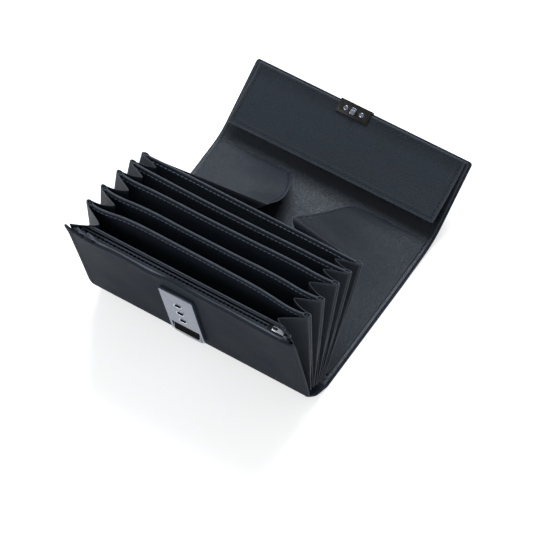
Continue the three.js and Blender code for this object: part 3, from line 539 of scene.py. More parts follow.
def node_group(name, inputs, outputs, fill):
    """Finds or makes a node group. An input's value is its default, or the kind of its
    socket where it has none. Fill gets the tree and the inputs and returns the outputs."""
    found = bpy.data.node_groups.get(name)
    if found:
        return found
    made = bpy.data.node_groups.new(name, "ShaderNodeTree")
    for key, default in inputs.items():
        kind = default if isinstance(default, str) else "Float"
        socket = made.interface.new_socket(name=key, in_out="INPUT", socket_type="NodeSocket" + kind)
        if kind == "Float":
            socket.default_value = default
    for key, kind in outputs.items():
        made.interface.new_socket(name=key, in_out="OUTPUT", socket_type="NodeSocket" + kind)
    given, out = made.nodes.new("NodeGroupInput"), made.nodes.new("NodeGroupOutput")
    tree = Tree(made)
    tree.feed(out, fill(tree, given.outputs))
    return made


def grain_group():
    """Leather grain: cells of two sizes with soft creases between them, over slow
    swells. Puts out the height and a mask of the creases, where the leather is painted
    darker as shade."""
    def fill(tree, given):
        at, scale = given["Vector"], given["Cell Scale"]
        wobble = tree.add("TexNoise", {"Scale": 90.0, "Vector": at})["Fac"]
        cells = tree.add("TexVoronoi", {"Vector": at, "Scale": scale}, feature="DISTANCE_TO_EDGE")
        finer = tree.math("MULTIPLY", scale, 2.2)
        fine = tree.add("TexNoise", {"Detail": 4.0, "Vector": at, "Scale": finer})["Fac"]
        plump = tree.math("MULTIPLY", cells["Distance"], 3.5, clamp=True)
        both = tree.math("ADD", tree.math("MULTIPLY", plump, 0.7), tree.math("MULTIPLY", fine, 0.5))
        height = tree.math("ADD", both, tree.math("MULTIPLY", wobble, given["Swell"]))
        return {"Height": height, "Creases": tree.math("SUBTRACT", 1.0, plump, clamp=True)}

    return node_group("Leather Grain", {"Vector": "Vector", "Cell Scale": 300.0, "Swell": 0.3},
                      {"Height": "Float", "Creases": "Float"}, fill)


def wear_and_highlight_group():
    """Edge wear and painted highlight: rims and patches painted lighter and smoother,
    partly as wear and partly as the highlight that turned rims catch, from the piece's
    edge value broken up by noise, and slow changes of tone over the face."""
    def fill(tree, given):
        at = given["Vector"]
        edge = tree.add("Attribute", {}, attribute_name="edge")["Fac"]
        patches = tree.add("TexNoise", {"Scale": 60.0, "Detail": 5.0, "Vector": at})["Fac"]
        slow = tree.add("TexNoise", {"Scale": 9.0, "Detail": 3.0, "Vector": at})["Fac"]
        rubbed = tree.math("MULTIPLY", edge, tree.math("MULTIPLY_ADD", patches, 0.9, 0.4))
        mask = tree.math("MULTIPLY", rubbed, given["Amount"], clamp=True)
        # Rims painted lighter: partly wear, partly painted highlight.
        worn = tree.mix(mask, given["Color"], given["Worn Color"])
        drift = tree.math("SUBTRACT", slow, 0.5)
        value = tree.math("ADD", tree.math("MULTIPLY", drift, given["Mottle"]), 1.0)
        toned = tree.add("HueSaturation", {"Value": value, "Color": worn})["Color"]
        base = tree.math("ADD", given["Roughness"], tree.math("MULTIPLY", mask, -0.12))
        rough = tree.math("ADD", base, tree.math("MULTIPLY", drift, 0.25), clamp=True)
        return {"Color": toned, "Roughness": rough}

    return node_group("Edge Wear", {"Vector": "Vector", "Color": "Color", "Worn Color": "Color",
                                    "Roughness": 0.5, "Amount": 0.7, "Mottle": 0.2},
                      {"Color": "Color", "Roughness": "Float"}, fill)


def weave_group():
    """Woven tape: strong ribs along it, crossed by finer and fainter ones. Puts out the height."""
    def fill(tree, given):
        ribs = []
        for direction, ratio in (("X", 2.5), ("Y", 1.0)):
            inputs = {"Distortion": 0.6, "Vector": given["Vector"],
                      "Scale": tree.math("MULTIPLY", given["Scale"], ratio)}
            ribs.append(tree.add("TexWave", inputs, bands_direction=direction)["Fac"])
        across = tree.math("MULTIPLY_ADD", ribs[0], 0.4, 0.6)
        return {"Height": tree.math("MULTIPLY", across, ribs[1])}

    return node_group("Tape Weave", {"Vector": "Vector", "Scale": 500.0}, {"Height": "Float"}, fill)


def scuff_group():
    """Fine brushed scuffs and smudges on metal, as changes of roughness and height."""
    def fill(tree, given):
        at = given["Vector"]
        brushed = tree.add("Mapping", {"Scale": (200.0, 2600.0, 2600.0), "Vector": at})["Vector"]
        lines = tree.add("TexNoise", {"Scale": 1.0, "Detail": 3.0, "Vector": brushed})["Fac"]
        smudge = tree.add("TexNoise", {"Scale": 140.0, "Vector": at})["Fac"]
        shift = tree.math("MULTIPLY", tree.math("MULTIPLY", lines, smudge), given["Amount"])
        rough = tree.math("ADD", given["Roughness"], shift, clamp=True)
        return {"Roughness": rough, "Height": lines}

    return node_group("Metal Scuffs", {"Vector": "Vector", "Roughness": 0.15, "Amount": 0.15},
                      {"Roughness": "Float", "Height": "Float"}, fill)


def make_material(name, fill):
    """Finds a material or makes it. Fill gets its tree and its shader."""
    found = bpy.data.materials.get(name)
    if found:
        return found
    made = bpy.data.materials.new(name)
    made.use_nodes = True
    tree = Tree(made.node_tree)
    fill(tree, tree.nodes["Principled BSDF"])
    return made


def rgba(colour, share=1.0):
    """A share of a colour, with full alpha."""
    return tuple(share * c for c in colour) + (1,)


def leather(kind):
    """Dyed leather with grain, rims painted lighter as wear and as painted highlight, grain
    creases painted darker as shade, and slow changes of tone, patterned on the piece's
    own surface coordinates."""
    look = bpy.context.scene.wallet_look
    name, colour, roughness, cell, depth, amount, mottle, shine = LEATHERS[kind]
    colour = getattr(look, colour)

    def fill(tree, shader):
        uv = tree.add("UVMap", {}, uv_map="UVMap")["UV"]
        grain = tree.add("Group", {"Vector": uv, "Cell Scale": cell, "Swell": 0.4}, node_tree=grain_group())
        # Rims and rubbed patches painted lighter, partly as wear and partly as painted highlight.
        wear = tree.add("Group", {
            "Vector": uv, "Color": rgba(colour), "Worn Color": rgba(look.worn_and_lit_colour),
            "Roughness": look.leather_roughness if roughness is None else roughness,
            "Amount": amount, "Mottle": mottle}, node_tree=wear_and_highlight_group())
        # Painted shade: the grain's creases are darker.
        crease_shade = tree.math("MULTIPLY", grain["Creases"], 0.35)
        tree.feed(shader, {
            "Base Color": tree.mix(crease_shade, wear["Color"], rgba(colour, 0.35)),
            "Roughness": wear["Roughness"], "Specular IOR Level": shine,
            "Specular Tint": (0.84, 0.92, 1, 1)})
        tree.bump(shader, grain["Height"], depth, 0.00022)

    return make_material(name, fill)


def thread(dark=True):
    """Waxed sewing thread with its twist, the twist's grooves painted darker as shade."""
    look = bpy.context.scene.wallet_look
    colour = look.dark_thread_colour if dark else look.thread_colour

    def fill(tree, shader):
        at = tree.add("TexCoord", {})["Object"]
        twist = tree.add("TexWave", {"Scale": 700.0, "Vector": at}, bands_direction="DIAGONAL")["Fac"]
        # Painted shade: the twist's grooves are darker.
        tree.feed(shader, {"Base Color": tree.mix(twist, rgba(colour), rgba(colour, 0.55)),
                           "Roughness": 0.5})
        tree.bump(shader, twist, 0.4, 0.0001)

    return make_material("Dark Thread" if dark else "Waxed Thread", fill)


def woven_tape():
    """Woven zip tape, its weave's grooves painted darker as shade."""
    # The tape's colour is lighter than the real tape's: painted light against the shade of the deep zip
    # channel.
    colour = bpy.context.scene.wallet_look.tape_colour

    def fill(tree, shader):
        uv = tree.add("UVMap", {}, uv_map="UVMap")["UV"]
        weave = tree.add("Group", {"Scale": 42.0, "Vector": uv}, node_tree=weave_group())["Height"]
        # Painted shade: the weave's grooves are darker, down to 0.4 of the tape's colour.
        tree.feed(shader, {"Base Color": tree.mix(weave, rgba(colour, 0.4), rgba(colour)),
                           "Roughness": 0.8, "Sheen Weight": 0.3})
        tree.bump(shader, weave, 0.6, 0.0002)

    return make_material("Zip Tape", fill)


def metal(kind):
    """Plated metal or plastic, or a copy painted lighter or darker as highlight, dark
    reflection or shade, with faint scuffs, patterned on object coordinates.
    """
    name, colour, roughness, amount, metallic, shine = METALS[kind]
    colour = bpy.context.scene.wallet_look.chrome_colour if colour is None else colour

    def fill(tree, shader):
        at = tree.add("TexCoord", {})["Object"]
        scuffs = tree.add("Group", {"Roughness": roughness, "Amount": amount, "Vector": at},
                          node_tree=scuff_group())
        tree.feed(shader, {
            "Base Color": tree.mix(scuffs["Height"], rgba(colour), rgba(colour, 0.86)),
            "Roughness": scuffs["Roughness"], "Metallic": metallic, "Specular IOR Level": shine})
        tree.bump(shader, scuffs["Height"], 0.05, 0.00002)

    return make_material(name, fill)


def colour_property(name, description, *default):
    return bpy.props.FloatVectorProperty(name=name, description=description, subtype="COLOR", size=3,
                                         default=default, min=0, max=1)


class WalletLook(bpy.types.PropertyGroup):
    """Colours and finishes of the wallet."""

    outer_colour: colour_property("Outer leather", "Colour of the covers", 0.0260, 0.0337, 0.0465)
    inner_colour: colour_property(
        "Inner leather", "Colour of dividers and pleats", 0.0280, 0.0352, 0.0470)
    # The lining's tone is darker than the gussets' of the same leather: painted shade.
    lining_colour: colour_property(
        "Lining", "Colour of the coin compartment's lining", 0.0145, 0.0182, 0.0250)
    # The gussets' tone is lighter than the lining's of the same leather: painted light.
    gusset_colour: colour_property(
        "Gussets", "Colour of the coin compartment's gussets", 0.0320, 0.0385, 0.0505)
    # Rims are painted in this lighter colour, partly as wear and partly as painted highlight.
    worn_and_lit_colour: colour_property(
        "Worn and lit rims", "Colour that turned edges wear to", 0.085, 0.097, 0.12)
    thread_colour: colour_property("Thread", "Colour of the sewing thread", 0.190, 0.240, 0.330)
    dark_thread_colour: colour_property(
        "Dark thread", "Colour of the thread in the covers and gussets", 0.006, 0.007, 0.010)
    # Lighter than the real tape: painted light that offsets the shade of the deep zip channel.
    tape_colour: colour_property("Zip tape", "Colour of the woven tape", 0.150, 0.180, 0.235)
    chrome_colour: colour_property("Plating", "Colour of the lock and strike", 0.44, 0.48, 0.58)
    leather_roughness: bpy.props.FloatProperty(
        name="Leather roughness", description="Roughness of the covers", default=0.55, min=0, max=1,
        subtype="FACTOR")


class WalletSizes(bpy.types.PropertyGroup):
    """Sizes of the wallet's sewn detail."""

    stitch_pitch: bpy.props.FloatProperty(
        name="Stitch pitch", description="Length from one stitch to the next", default=0.0033,
        min=0.002, max=0.008, unit="LENGTH", subtype="DISTANCE")
    stitch_inset: bpy.props.FloatProperty(
        name="Stitch inset", description="Distance of a stitch line from its rim", default=0.003,
        min=0.001, max=0.01, unit="LENGTH", subtype="DISTANCE")


def inset():
    """The stitch line's distance from a rim, in millimetres."""
    return bpy.context.scene.wallet_sizes.stitch_inset / MM


class WALLET_OT_back(bpy.types.Operator):
    """Back cover and the lower part of the band: one sheet along a profile that bends at the fold"""

    bl_idname = "wallet.back"
    bl_label = "Back cover"

    def execute(self, context):
        tie = ("back", "band", (FOLD - 4, 2.0), (FOLD + 4, 2.3))
        half = LEATHER / 2
        place, length = self.path(BOTTOM + 5, half, half - INNER_FACE, STEP_PLACE)
        limit = HALF_COVER - COVER_CLEARANCE
        xs = stations(-limit, limit, 4, half, half)
        ss = stations(0, length, 3, 0.1, BUTT_ROUND, (length - BUTT_STATION,))
        outer = leather_sheet("back_leather", xs, ss, place, half, worn=ends_unworn)
        settle(outer, leather("outer"), "outer_leather", tie, "back_cover", "spine_band")

        place, length = self.path(BOTTOM + 0.4, INNER_FACE - LINING / 2, -LINING / 2, STEP_PLACE + 0.2)
        limit = HALF_COVER - 1.6
        xs = stations(-limit, limit, 3, 0.4, 0.4)
        ss = stations(0, length, 3, 0.4, BUTT_ROUND, (length - BUTT_STATION,))

        def swells(x, s):
            near = np.exp(-(x / 38) ** 2 - ((s - 90) / 32) ** 2)
            return 0.5 * near * (1 + np.sin(0.21 * s + 0.04 * x)), 0 * s

        half = LINING / 2 + LINING_SWELL
        lining = leather_sheet("coin_lining", xs, ss, place, half, swells, worn=ends_unworn)
        settle(lining, leather("lining"), "smooth_lining", tie, "coin_pocket_lining", "spine_band_lining")
        return {"FINISHED"}

    @staticmethod
    def path(start, height, off_band, end):
        """Profile at a height over the table, round the fold and on along the band."""
        corner = crossing((0, height), 0, BAND(0, off_band), BAND_ANGLE)
        return bent_path((start, height), corner, BAND(end, off_band), 20)


class WALLET_OT_bottom(bpy.types.Operator):
    """Strip under the compartments: from the back cover round the fold, bowed outward by half a sine"""

    bl_idname = "wallet.bottom"
    bl_label = "Bottom strip"

    def execute(self, context):
        mid = LEATHER / 2
        corner = crossing((0, mid), 0, STRIP(0, mid), STRIP_ANGLE)
        place, length = bent_path((BOTTOM + 5, mid), corner, STRIP(STRIP_LENGTH / 2, mid), 7)
        bow = lambda s: STRIP_BOW * np.sin(0.5 * np.pi * smooth((s - 5) / (length - 5)))
        bowed = lambda x, s, n: place(x, s, n + bow(s))
        limit = HALF_COVER - COVER_CLEARANCE
        xs = stations(-limit, limit, 4, mid, mid)
        ss = stations(0, length, 1.5, 0.1, 0.1)
        trim = lambda x, s: x * (1 - fold_draw(length - s + STRIP_LENGTH / 2))
        strip = leather_sheet("bottom_leather", xs, ss, bowed, mid, None, trim, ends_unworn)
        tie = ("back", "bottom", (BOTTOM + 3, mid), STRIP(4, mid))
        settle(strip, leather("outer"), "outer_leather", tie, "bottom_strip")
        return {"FINISHED"}


def fold_draw(s):
    """The share by which the sides draw in at the front fold: a bell round it."""
    return 0.026 * np.exp(-(s / 5.5) ** 2)


def front_place():
    """The front cover's profile: up from the middle of the strip, round the fold and
    up the front, with the front cover's sway and its left corner curled up."""
    mid = LEATHER / 2
    up = math.radians(FRONT_ANGLE)
    corner = crossing(STRIP(0, mid), STRIP_ANGLE, FRONT(0, mid), FRONT_ANGLE)
    place, length = bent_path(STRIP(STRIP_LENGTH / 2, mid), corner, FRONT(FRONT_HEIGHT, mid), 9)

    def swayed(x, s, n):
        x, s, n = np.broadcast_arrays(x, s, n)
        bow = STRIP_BOW * (1 - smooth(s / (STRIP_LENGTH / 2)))
        curl = smooth((-x - 83) / 7) * smooth((s - length + 10) / 10)
        lift = curl[..., None] * np.array([-1.5, 2.8 * math.cos(up), 2.8 * math.sin(up)])
        return place(x, s, n + front_sway(x, FRONT_HEIGHT + s - length) + bow) + lift

    return swayed, length


class WALLET_OT_front(bpy.types.Operator):
    """Front cover: one sheet with a turned, stitched top edge and rounded top corners"""

    bl_idname = "wallet.front"
    bl_label = "Front cover"

    def execute(self, context):
        half = LEATHER / 2 + COVER_SWELL
        place, length = front_place()
        limit = HALF_COVER - COVER_CLEARANCE
        xs = stations(-limit, limit, 2.5, half, half, both_ways(in_from(limit, COVER_RIM)))
        ss = stations(0, length, 2, 0.1, half, in_from(length, COVER_RIM))
        rounded = round_corners(limit, length, CORNER_RADIUS)
        trim = lambda x, s: rounded(x, s) * (1 - fold_draw(s - STRIP_LENGTH / 2 + 0.5))
        relief = hemmed(length, limit, 4.0, 0.18, inset(), 0.22)
        cover = leather_sheet("front_leather", xs, ss, place, half, relief, trim, ends_unworn)
        line, side, low = length - inset(), limit - inset(), STRIP_LENGTH / 2 + 4
        way = [(-side, low), (-side, line), (side, line), (side, low)]
        seams = stitch_piece("front_stitches", stitch_run(place, way, half + 0.1))
        tie = ("bottom", "front", STRIP(STRIP_LENGTH - 5, 0.7), FRONT(5, 0.7))
        settle(cover, leather("outer"), "outer_leather", tie, "front_cover")
        settle(seams, thread(), "outer_leather", tie)
        return {"FINISHED"}


def flap_path(off_face, start, end):
    """Profile from a place on the band round the bend to a place on the flap."""
    corner = crossing(BAND(0, off_face), BAND_ANGLE, FLAP(0, off_face), FLAP_ANGLE)
    return bent_path(BAND(start, off_face), corner, FLAP(end, off_face), 42)


class WALLET_OT_flap(bpy.types.Operator):
    """Flap and the band's upper part: outer sheet and lining along a profile with a soft bend"""

    bl_idname = "wallet.flap"
    bl_label = "Flap"

    def execute(self, context):
        tie = ("band", "flap", BAND(BAND_LENGTH - 14, 0), FLAP(14, 0))
        columns = both_ways(in_from(HALF_COVER, COVER_RIM))
        half = LEATHER / 2 + COVER_SWELL
        place, length = flap_path(-INNER_FACE + LEATHER / 2, STEP_PLACE, FLAP_LENGTH)
        xs = stations(-HALF_COVER, HALF_COVER, 3, half, half, columns)
        ss = stations(0, length, 2.5, BUTT_ROUND, half, [BUTT_STATION] + in_from(length, COVER_RIM))
        trim = round_corners(HALF_COVER, length, CORNER_RADIUS)
        outer = leather_sheet("flap_leather", xs, ss, place, half, None, trim, lambda s: length - s)
        settle(outer, leather("outer"), "outer_leather", tie, "flap_cover")

        place, length = flap_path(-LINING / 2, STEP_PLACE + 0.2, FLAP_LENGTH - 1.4)
        limit = HALF_COVER - 1.5
        half = LINING / 2 + LINING_SWELL
        xs = stations(-limit, limit, 2.5, 0.4, 0.4, columns)
        ss = stations(0, length, 2.5, BUTT_ROUND, 0.4, [BUTT_STATION] + in_from(length, COVER_RIM))
        trim = round_corners(limit, length, CORNER_RADIUS)
        relief = hemmed(length, limit, 3.2, 0.12, LINING_LINE, 0.16)
        lining = leather_sheet("flap_lining_leather", xs, ss, place, half, relief, trim,
                               lambda s: length - s)
        settle(lining, leather("lining"), "smooth_lining", tie, "flap_lining")
        side, line = limit - LINING_LINE, length - LINING_LINE
        ways = ([(-side, 1), (-side, line), (LOCK_CENTRE - STRIKE_GAP, line)],
                [(LOCK_CENTRE + STRIKE_GAP, line), (side, line), (side, 1)])
        seams = stitch_piece("flap_stitches", *(stitch_run(place, way, 0.55) for way in ways))
        settle(seams, thread(), "smooth_lining", tie)
        return {"FINISHED"}


class WALLET_OT_flap_panel(bpy.types.Operator):
    """Inner panel on the flap: one sheet from the seam at the free edge to a lower edge that stands off"""

    bl_idname = "wallet.flap_panel"
    bl_label = "Flap's inner panel"

    def execute(self, context):
        half = 0.55
        height = 0.9
        limit = 86.0
        reach = 40.0
        crease = FLAP(50, height)
        lift = math.radians(FLAP_ANGLE - 10)
        low = (crease[0] - reach * math.cos(lift), crease[1] - reach * math.sin(lift))
        path, length = bent_path(low, crease, FLAP(FLAP_LENGTH - 1.4, height), 30)

        def place(x, s, n):
            away = 0.8 * np.sin(np.pi * (x + 30) / 200) + 0.9 * smooth((x - 20) / 60)
            return path(x, s, n + 0.6 * smooth(1 - s / 22) * away)

        near = SHEET_RIM + (4.4, 5.5)
        xs = stations(-limit, limit, 2.5, half, half, both_ways(in_from(limit, near)))
        ss = stations(0, length, 2, half, half, in_from(length, near) + list(near))

        def relief(x, s):
            d = np.minimum(np.minimum(length - s, s), limit - np.abs(x))
            return hem(d, 4.2, 0.16, inset(), 0.2), 0 * d

        trim = round_corners(limit, length, 1.0, 0.0, 1.5)
        panel = leather_sheet("flap_panel_leather", xs, ss, place, half, relief, trim)
        side, line = limit - inset(), length - inset()
        way = [(LOCK_CENTRE - STRIKE_GAP, line), (-side, line), (-side, inset()), (side, inset()),
               (side, line), (LOCK_CENTRE + STRIKE_GAP, line)]
        seams = stitch_piece("flap_panel_stitches", stitch_run(place, way, half + 0.08))
        tie = ("flap", "inner_panel", FLAP(52.5, height), FLAP(47.5, height))
        settle(panel, leather("inner"), "inner_leather", tie, "inner_panel_seam", "inner_flap_panel")
        settle(seams, thread(), "inner_leather", tie)
        return {"FINISHED"}


class WALLET_OT_dividers(bpy.types.Operator):
    """Dividers: flat sheets with turned, stitched top edges, and an oval binding up each side"""

    bl_idname = "wallet.dividers"
    bl_label = "Dividers"

    def execute(self, context):
        half = DIVIDER_THICKNESS / 2 - 0.1
        limit = HALF_DIVIDER - 4.3
        near = in_from(DIVIDER_HEIGHT, SHEET_RIM + (4.6, 5.6))
        xs = stations(-limit, limit, 3, half, half)
        ss = stations(0, DIVIDER_HEIGHT, 3, half, half, near)
        relief = lambda x, s: hem(DIVIDER_HEIGHT - s, 4.2, 0.2, inset(), 0.22)
        way = [(x, DIVIDER_HEIGHT - inset()) for x in (0.5 - limit, limit - 0.5)]
        for i, body in enumerate(DIVIDER_BODIES):
            place = flat_panel(DIVIDER_FEET[i], DIVIDER_ANGLES[i], divider_sway(i))
            sheet = leather_sheet(body + "_leather", xs, ss, place, half, relief,
                                  worn=lambda s: DIVIDER_HEIGHT - s)
            settle(sheet, leather("inner"), "inner_leather", body, body)
            runs = [stitch_run(place, way, n, 2.8, 0.42, 0.2) for n in (half + 0.1, -half - 0.1)]
            settle(stitch_piece(body + "_stitches", *runs), thread(False), "inner_leather", body)
            for side, word in SIDES:
                binding = self.binding(word + "_" + body + "_binding", side, place)
                settle(binding, leather("inner"), "inner_leather", body)
        return {"FINISHED"}

    @staticmethod
    def binding(name, side, place):
        """An oval tube up the divider's side edge, tapering to the foot, with its top
        end turned in to a small hollow."""
        low = np.linspace(6, DIVIDER_HEIGHT - 1.4, 24)
        top = DIVIDER_HEIGHT + np.array([-0.6, -0.1, 0.15, 0.1, -0.3, -1.6, -1.6, -0.5, -0.3])
        turned = [1.0, 0.95, 0.84, 0.7, 0.6, 0.55, 0.3, 0.26, 0.05]
        phi = full_turn(24)
        s = np.concatenate([low, top])[:, None] + 0 * phi
        size = np.concatenate([0.35 + 0.65 * smooth(low / 70), turned])[:, None]
        x = side * (HALF_DIVIDER - 2.3 + 3.1 * size * np.cos(phi))
        n = 2.0 * size * np.sin(phi)
        edge = np.clip((s - DIVIDER_HEIGHT + 1.2) / 0.9, 0, 1)
        return outward(ring_solid(name, place(x, s, n), np.stack([n + x, s], -1), edge))


def pocket_width(s):
    """How far the zip pocket's rear wall stands behind the front cover."""
    return POCKET_FOOT + (POCKET_MOUTH - POCKET_FOOT) * s / FRONT_HEIGHT


def partition_sway(x, s):
    """The top edge of the zip pocket's rear wall curls towards the front cover."""
    return 1.4 * smooth((s - 89) / 7) + 0 * x


def partition_trim(x, s):
    """Narrows the zip pocket's rear wall to where it meets the first pleats."""
    return x * (HALF_DIVIDER - 11.2 * (0.5 + 0.5 * s / DIVIDER_HEIGHT)) / HALF_DIVIDER


class WALLET_OT_pleats(bpy.types.Operator):
    """Pleats: a V-folded sheet at each side of each compartment, its depth growing with height"""

    bl_idname = "wallet.pleats"
    bl_label = "Side pleats"

    def execute(self, context):
        for i in range(5):
            for side, word in SIDES:
                self.pleat(i, side, "%s_pleat_%d" % (word, i + 1))
        return {"FINISHED"}

    @staticmethod
    def pleat(i, side, name):
        """A V from the panel ahead to its tip and on to the divider behind, by u from
        minus to plus the reach. Its flanks curve by a hyperbolic tangent where the gap
        is wide, and it sways with both panels. Thickness goes square to the V's line."""
        half = 0.36
        off_divider = DIVIDER_THICKNESS / 2 + 0.15
        if i == 0:
            ahead, fore = "front", lambda s: FRONT(s, -0.5)
            fore_sway, fore_angle = lambda x, s: front_sway(0 * x + 88 * side, s), FRONT_ANGLE
        else:
            ahead, fore = DIVIDER_BODIES[i - 1], lambda s: DIVIDERS[i - 1](s, -off_divider)
            fore_sway, fore_angle = divider_sway(i - 1), DIVIDER_ANGLES[i - 1]
        aft = lambda s: DIVIDERS[i](s, off_divider)
        sways = ((fore_sway, math.radians(fore_angle)), (divider_sway(i), math.radians(DIVIDER_ANGLES[i])))

        def place(u, s, n):
            u, s, n = np.broadcast_arrays(u, s, n)
            a, b = np.stack(fore(s), -1), np.stack(aft(s), -1)
            gap = np.linalg.norm(b - a, axis=-1)
            middle, spread_way = (a + b) / 2, (b - a) / gap[..., None]
            depth = PLEAT_DEPTH * (0.5 + 0.5 * s / DIVIDER_HEIGHT) * (1 + 0.04 * np.sin(s / 13 + i))
            w = u / PLEAT_REACH
            outer = (np.hypot(w, PLEAT_TIP) - PLEAT_TIP) / (math.hypot(1, PLEAT_TIP) - PLEAT_TIP)
            open_half = np.maximum(gap / 2 - half - 0.15, half + 0.05)
            steep = 3.0 * (0.35 + 0.65 * np.clip(1 - 1.1 * gap / 22, 0, 1)) ** 0.5
            across = open_half * (0.35 * np.tanh(w * steep) / np.tanh(steep) + 0.65 * w)
            if i == 0:
                # The first pleat's front flank gives way to the zip's end near the top.
                dent = np.sin(np.pi * np.clip(-w, 0, 1)) ** 2
                across = across + 3.2 * np.exp(-((s - 91) / 4) ** 2) * dent
            flank = np.clip(np.abs(w) / 0.12, 0, 1)
            slant = np.hypot(depth, open_half)
            n_x = side * (open_half / slant * flank - (1 - flank))
            n_across = depth / slant * flank * np.sign(w)
            x = side * (HALF_DIVIDER - depth * (1 - outer)) + n * n_x
            point = middle + (across + n * n_across)[..., None] * spread_way
            behind = np.clip(0.5 + 0.5 * across / open_half, 0, 1)
            for share, (sway, angle) in zip((1 - behind, behind), sways):
                point = point + (share * sway(x, s))[..., None] * [-math.sin(angle), math.cos(angle)]
            return np.stack([x, point[..., 0], point[..., 1]], -1)

        top = DIVIDER_HEIGHT - 0.6
        us = stations(-PLEAT_REACH, PLEAT_REACH, 1.5, 0.7, 0.7, both_ways((0.75, 1.5)))
        ss = stations(5, top, 3, half, half, in_from(DIVIDER_HEIGHT, (1.6, 2.6)))
        sheet = leather_sheet(name + "_leather", us, ss, place, half, worn=lambda s: top - s)
        a, b = np.array(fore(80.0)), np.array(aft(80.0))
        way = 4 * (b - a) / np.linalg.norm(b - a)
        tie = (ahead, DIVIDER_BODIES[i], (a + b) / 2 - way, (a + b) / 2 + way)
        settle(outward(sheet), leather("inner"), "inner_leather", tie, name)


def leaf_place(side):
    """The back leaf's surface: across from its side seam to its inner edge, v from 0
    to 100, rising by a power of v, with a soft roll near the edge and waves along it."""
    edge = HALF_DIVIDER - 1.5
    along, half, high = zip(*LEAF_EDGES[side])

    def place(v, y, n):
        v, y, n = np.broadcast_arrays(v, y, n)
        t = v / 100.0
        x = side * (edge + (eased(y, along, half) - edge) * t)
        floor = INNER_FACE + np.maximum(0, y - BACK_LENGTH) * math.tan(math.radians(BAND_ANGLE))
        roll = -0.9 * smooth((t - 0.93) / 0.07) * smooth((y - 84) / 12)
        wave = 0.9 * np.sin(y / 7.5 + 1.3 * side) * 4 * t * (1 - t)
        wave = wave * smooth((y - 60) / 20) * (1 - smooth((y - 122) / 12))
        z = floor + 0.45 + eased(y, along, high) * t ** 1.25 + roll + wave + n
        return np.stack([x, BOTTOM + y, z], -1)

    return place


class WALLET_OT_coin_gusset(bpy.types.Operator):
    """Coin compartment's gussets: a broad back leaf on each side and the front leaf that it folds into"""

    bl_idname = "wallet.coin_gusset"
    bl_label = "Coin gussets"

    def execute(self, context):
        for side, word in SIDES:
            self.back_leaf(side, word)
            self.front_leaf(side, word)
        return {"FINISHED"}

    @staticmethod
    def back_leaf(side, word):
        """A leaf in two pieces that meet at the fold, each with its run of stitches."""
        place = leaf_place(side)
        vs = stations(0, 100, 2.5, 0.5, 0.8, (94.0, 95.5, 97.0, 98.2))
        split = (BACK_LENGTH - 0.12, BACK_LENGTH + 0.12)

        def relief(v, y):
            return hem((100 - v) * 0.75, 3.6, 0.12, 2.2, 0.16) * smooth((y - 80) / 6), 0 * v

        low = (stations(9, BACK_LENGTH, 2.5, 0.4, 0.01, split), (88, BACK_LENGTH - 0.5))
        high = (stations(BACK_LENGTH, LEAF_END, 2, 0.01, 0.4, split), (BACK_LENGTH + 1, LEAF_END - 4))
        for part, (ys, ends), body, joint, replaced in (
                ("low", low, "back", "bottom_fold", (word + "_coin_gusset_back_leaf",)),
                ("high", high, "band", "flap_fold", ())):
            name = "%s_coin_leaf_%s" % (word, part)
            leaf = outward(leather_sheet(name, vs, ys, place, 0.4, relief, worn=ends_unworn))
            settle(leaf, leather("gusset"), "smooth_lining", body, *replaced)
            run = stitch_run(place, [(97.1, end) for end in ends], 0.5)
            seam = stitch_piece(name + "_stitches", run)
            settle(seam, thread(), "smooth_lining", body)
            for piece in (leaf, seam):
                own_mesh(piece)

    @staticmethod
    def front_leaf(side, word):
        """A ruled sheet between the rear divider's side and the back leaf's inner edge."""
        face = -DIVIDER_THICKNESS / 2 - 0.3
        back = leaf_place(side)

        def place(v, u, n):
            v, u, n = np.broadcast_arrays(v, u, n)
            t, k = v / 100.0, u / 100.0
            sy, sz = DIVIDERS[4]((DIVIDER_HEIGHT - 1.5) * k, face)
            seam = np.stack([side * (HALF_DIVIDER - 4.8) + 0 * sy, sy, sz], -1)
            fold = back(100.0, 6.0 + 80.0 * k, 0.35)
            return seam + (fold - seam) * t[..., None] + n[..., None] * np.array([0, -0.4, 0.9])

        us = stations(0, 100, 3, 0.3, 0.5)
        vs = stations(0, 100, 4, 0.5, 0.5)
        leaf = outward(leather_sheet(word + "_coin_front_leaf", vs, us, place, 0.4))
        settle(leaf, leather("gusset"), "smooth_lining", "rear_divider", word + "_coin_gusset_front_leaf")
        anchor = DIVIDERS[4](0, face + 0.4)
        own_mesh(leaf)


def tape_fold(x, k):
    """Crumples of a tape's loose end: two ridged waves that cross and a ripple."""
    broad = 1.5 * (1 - np.abs(np.sin(0.33 * x + 1.9 * k)))
    narrow = 0.9 * (1 - np.abs(np.sin(0.71 * x - 3.1 * k + 1)))
    return broad + narrow + 0.25 * np.sin(1.9 * x + 4 * k)


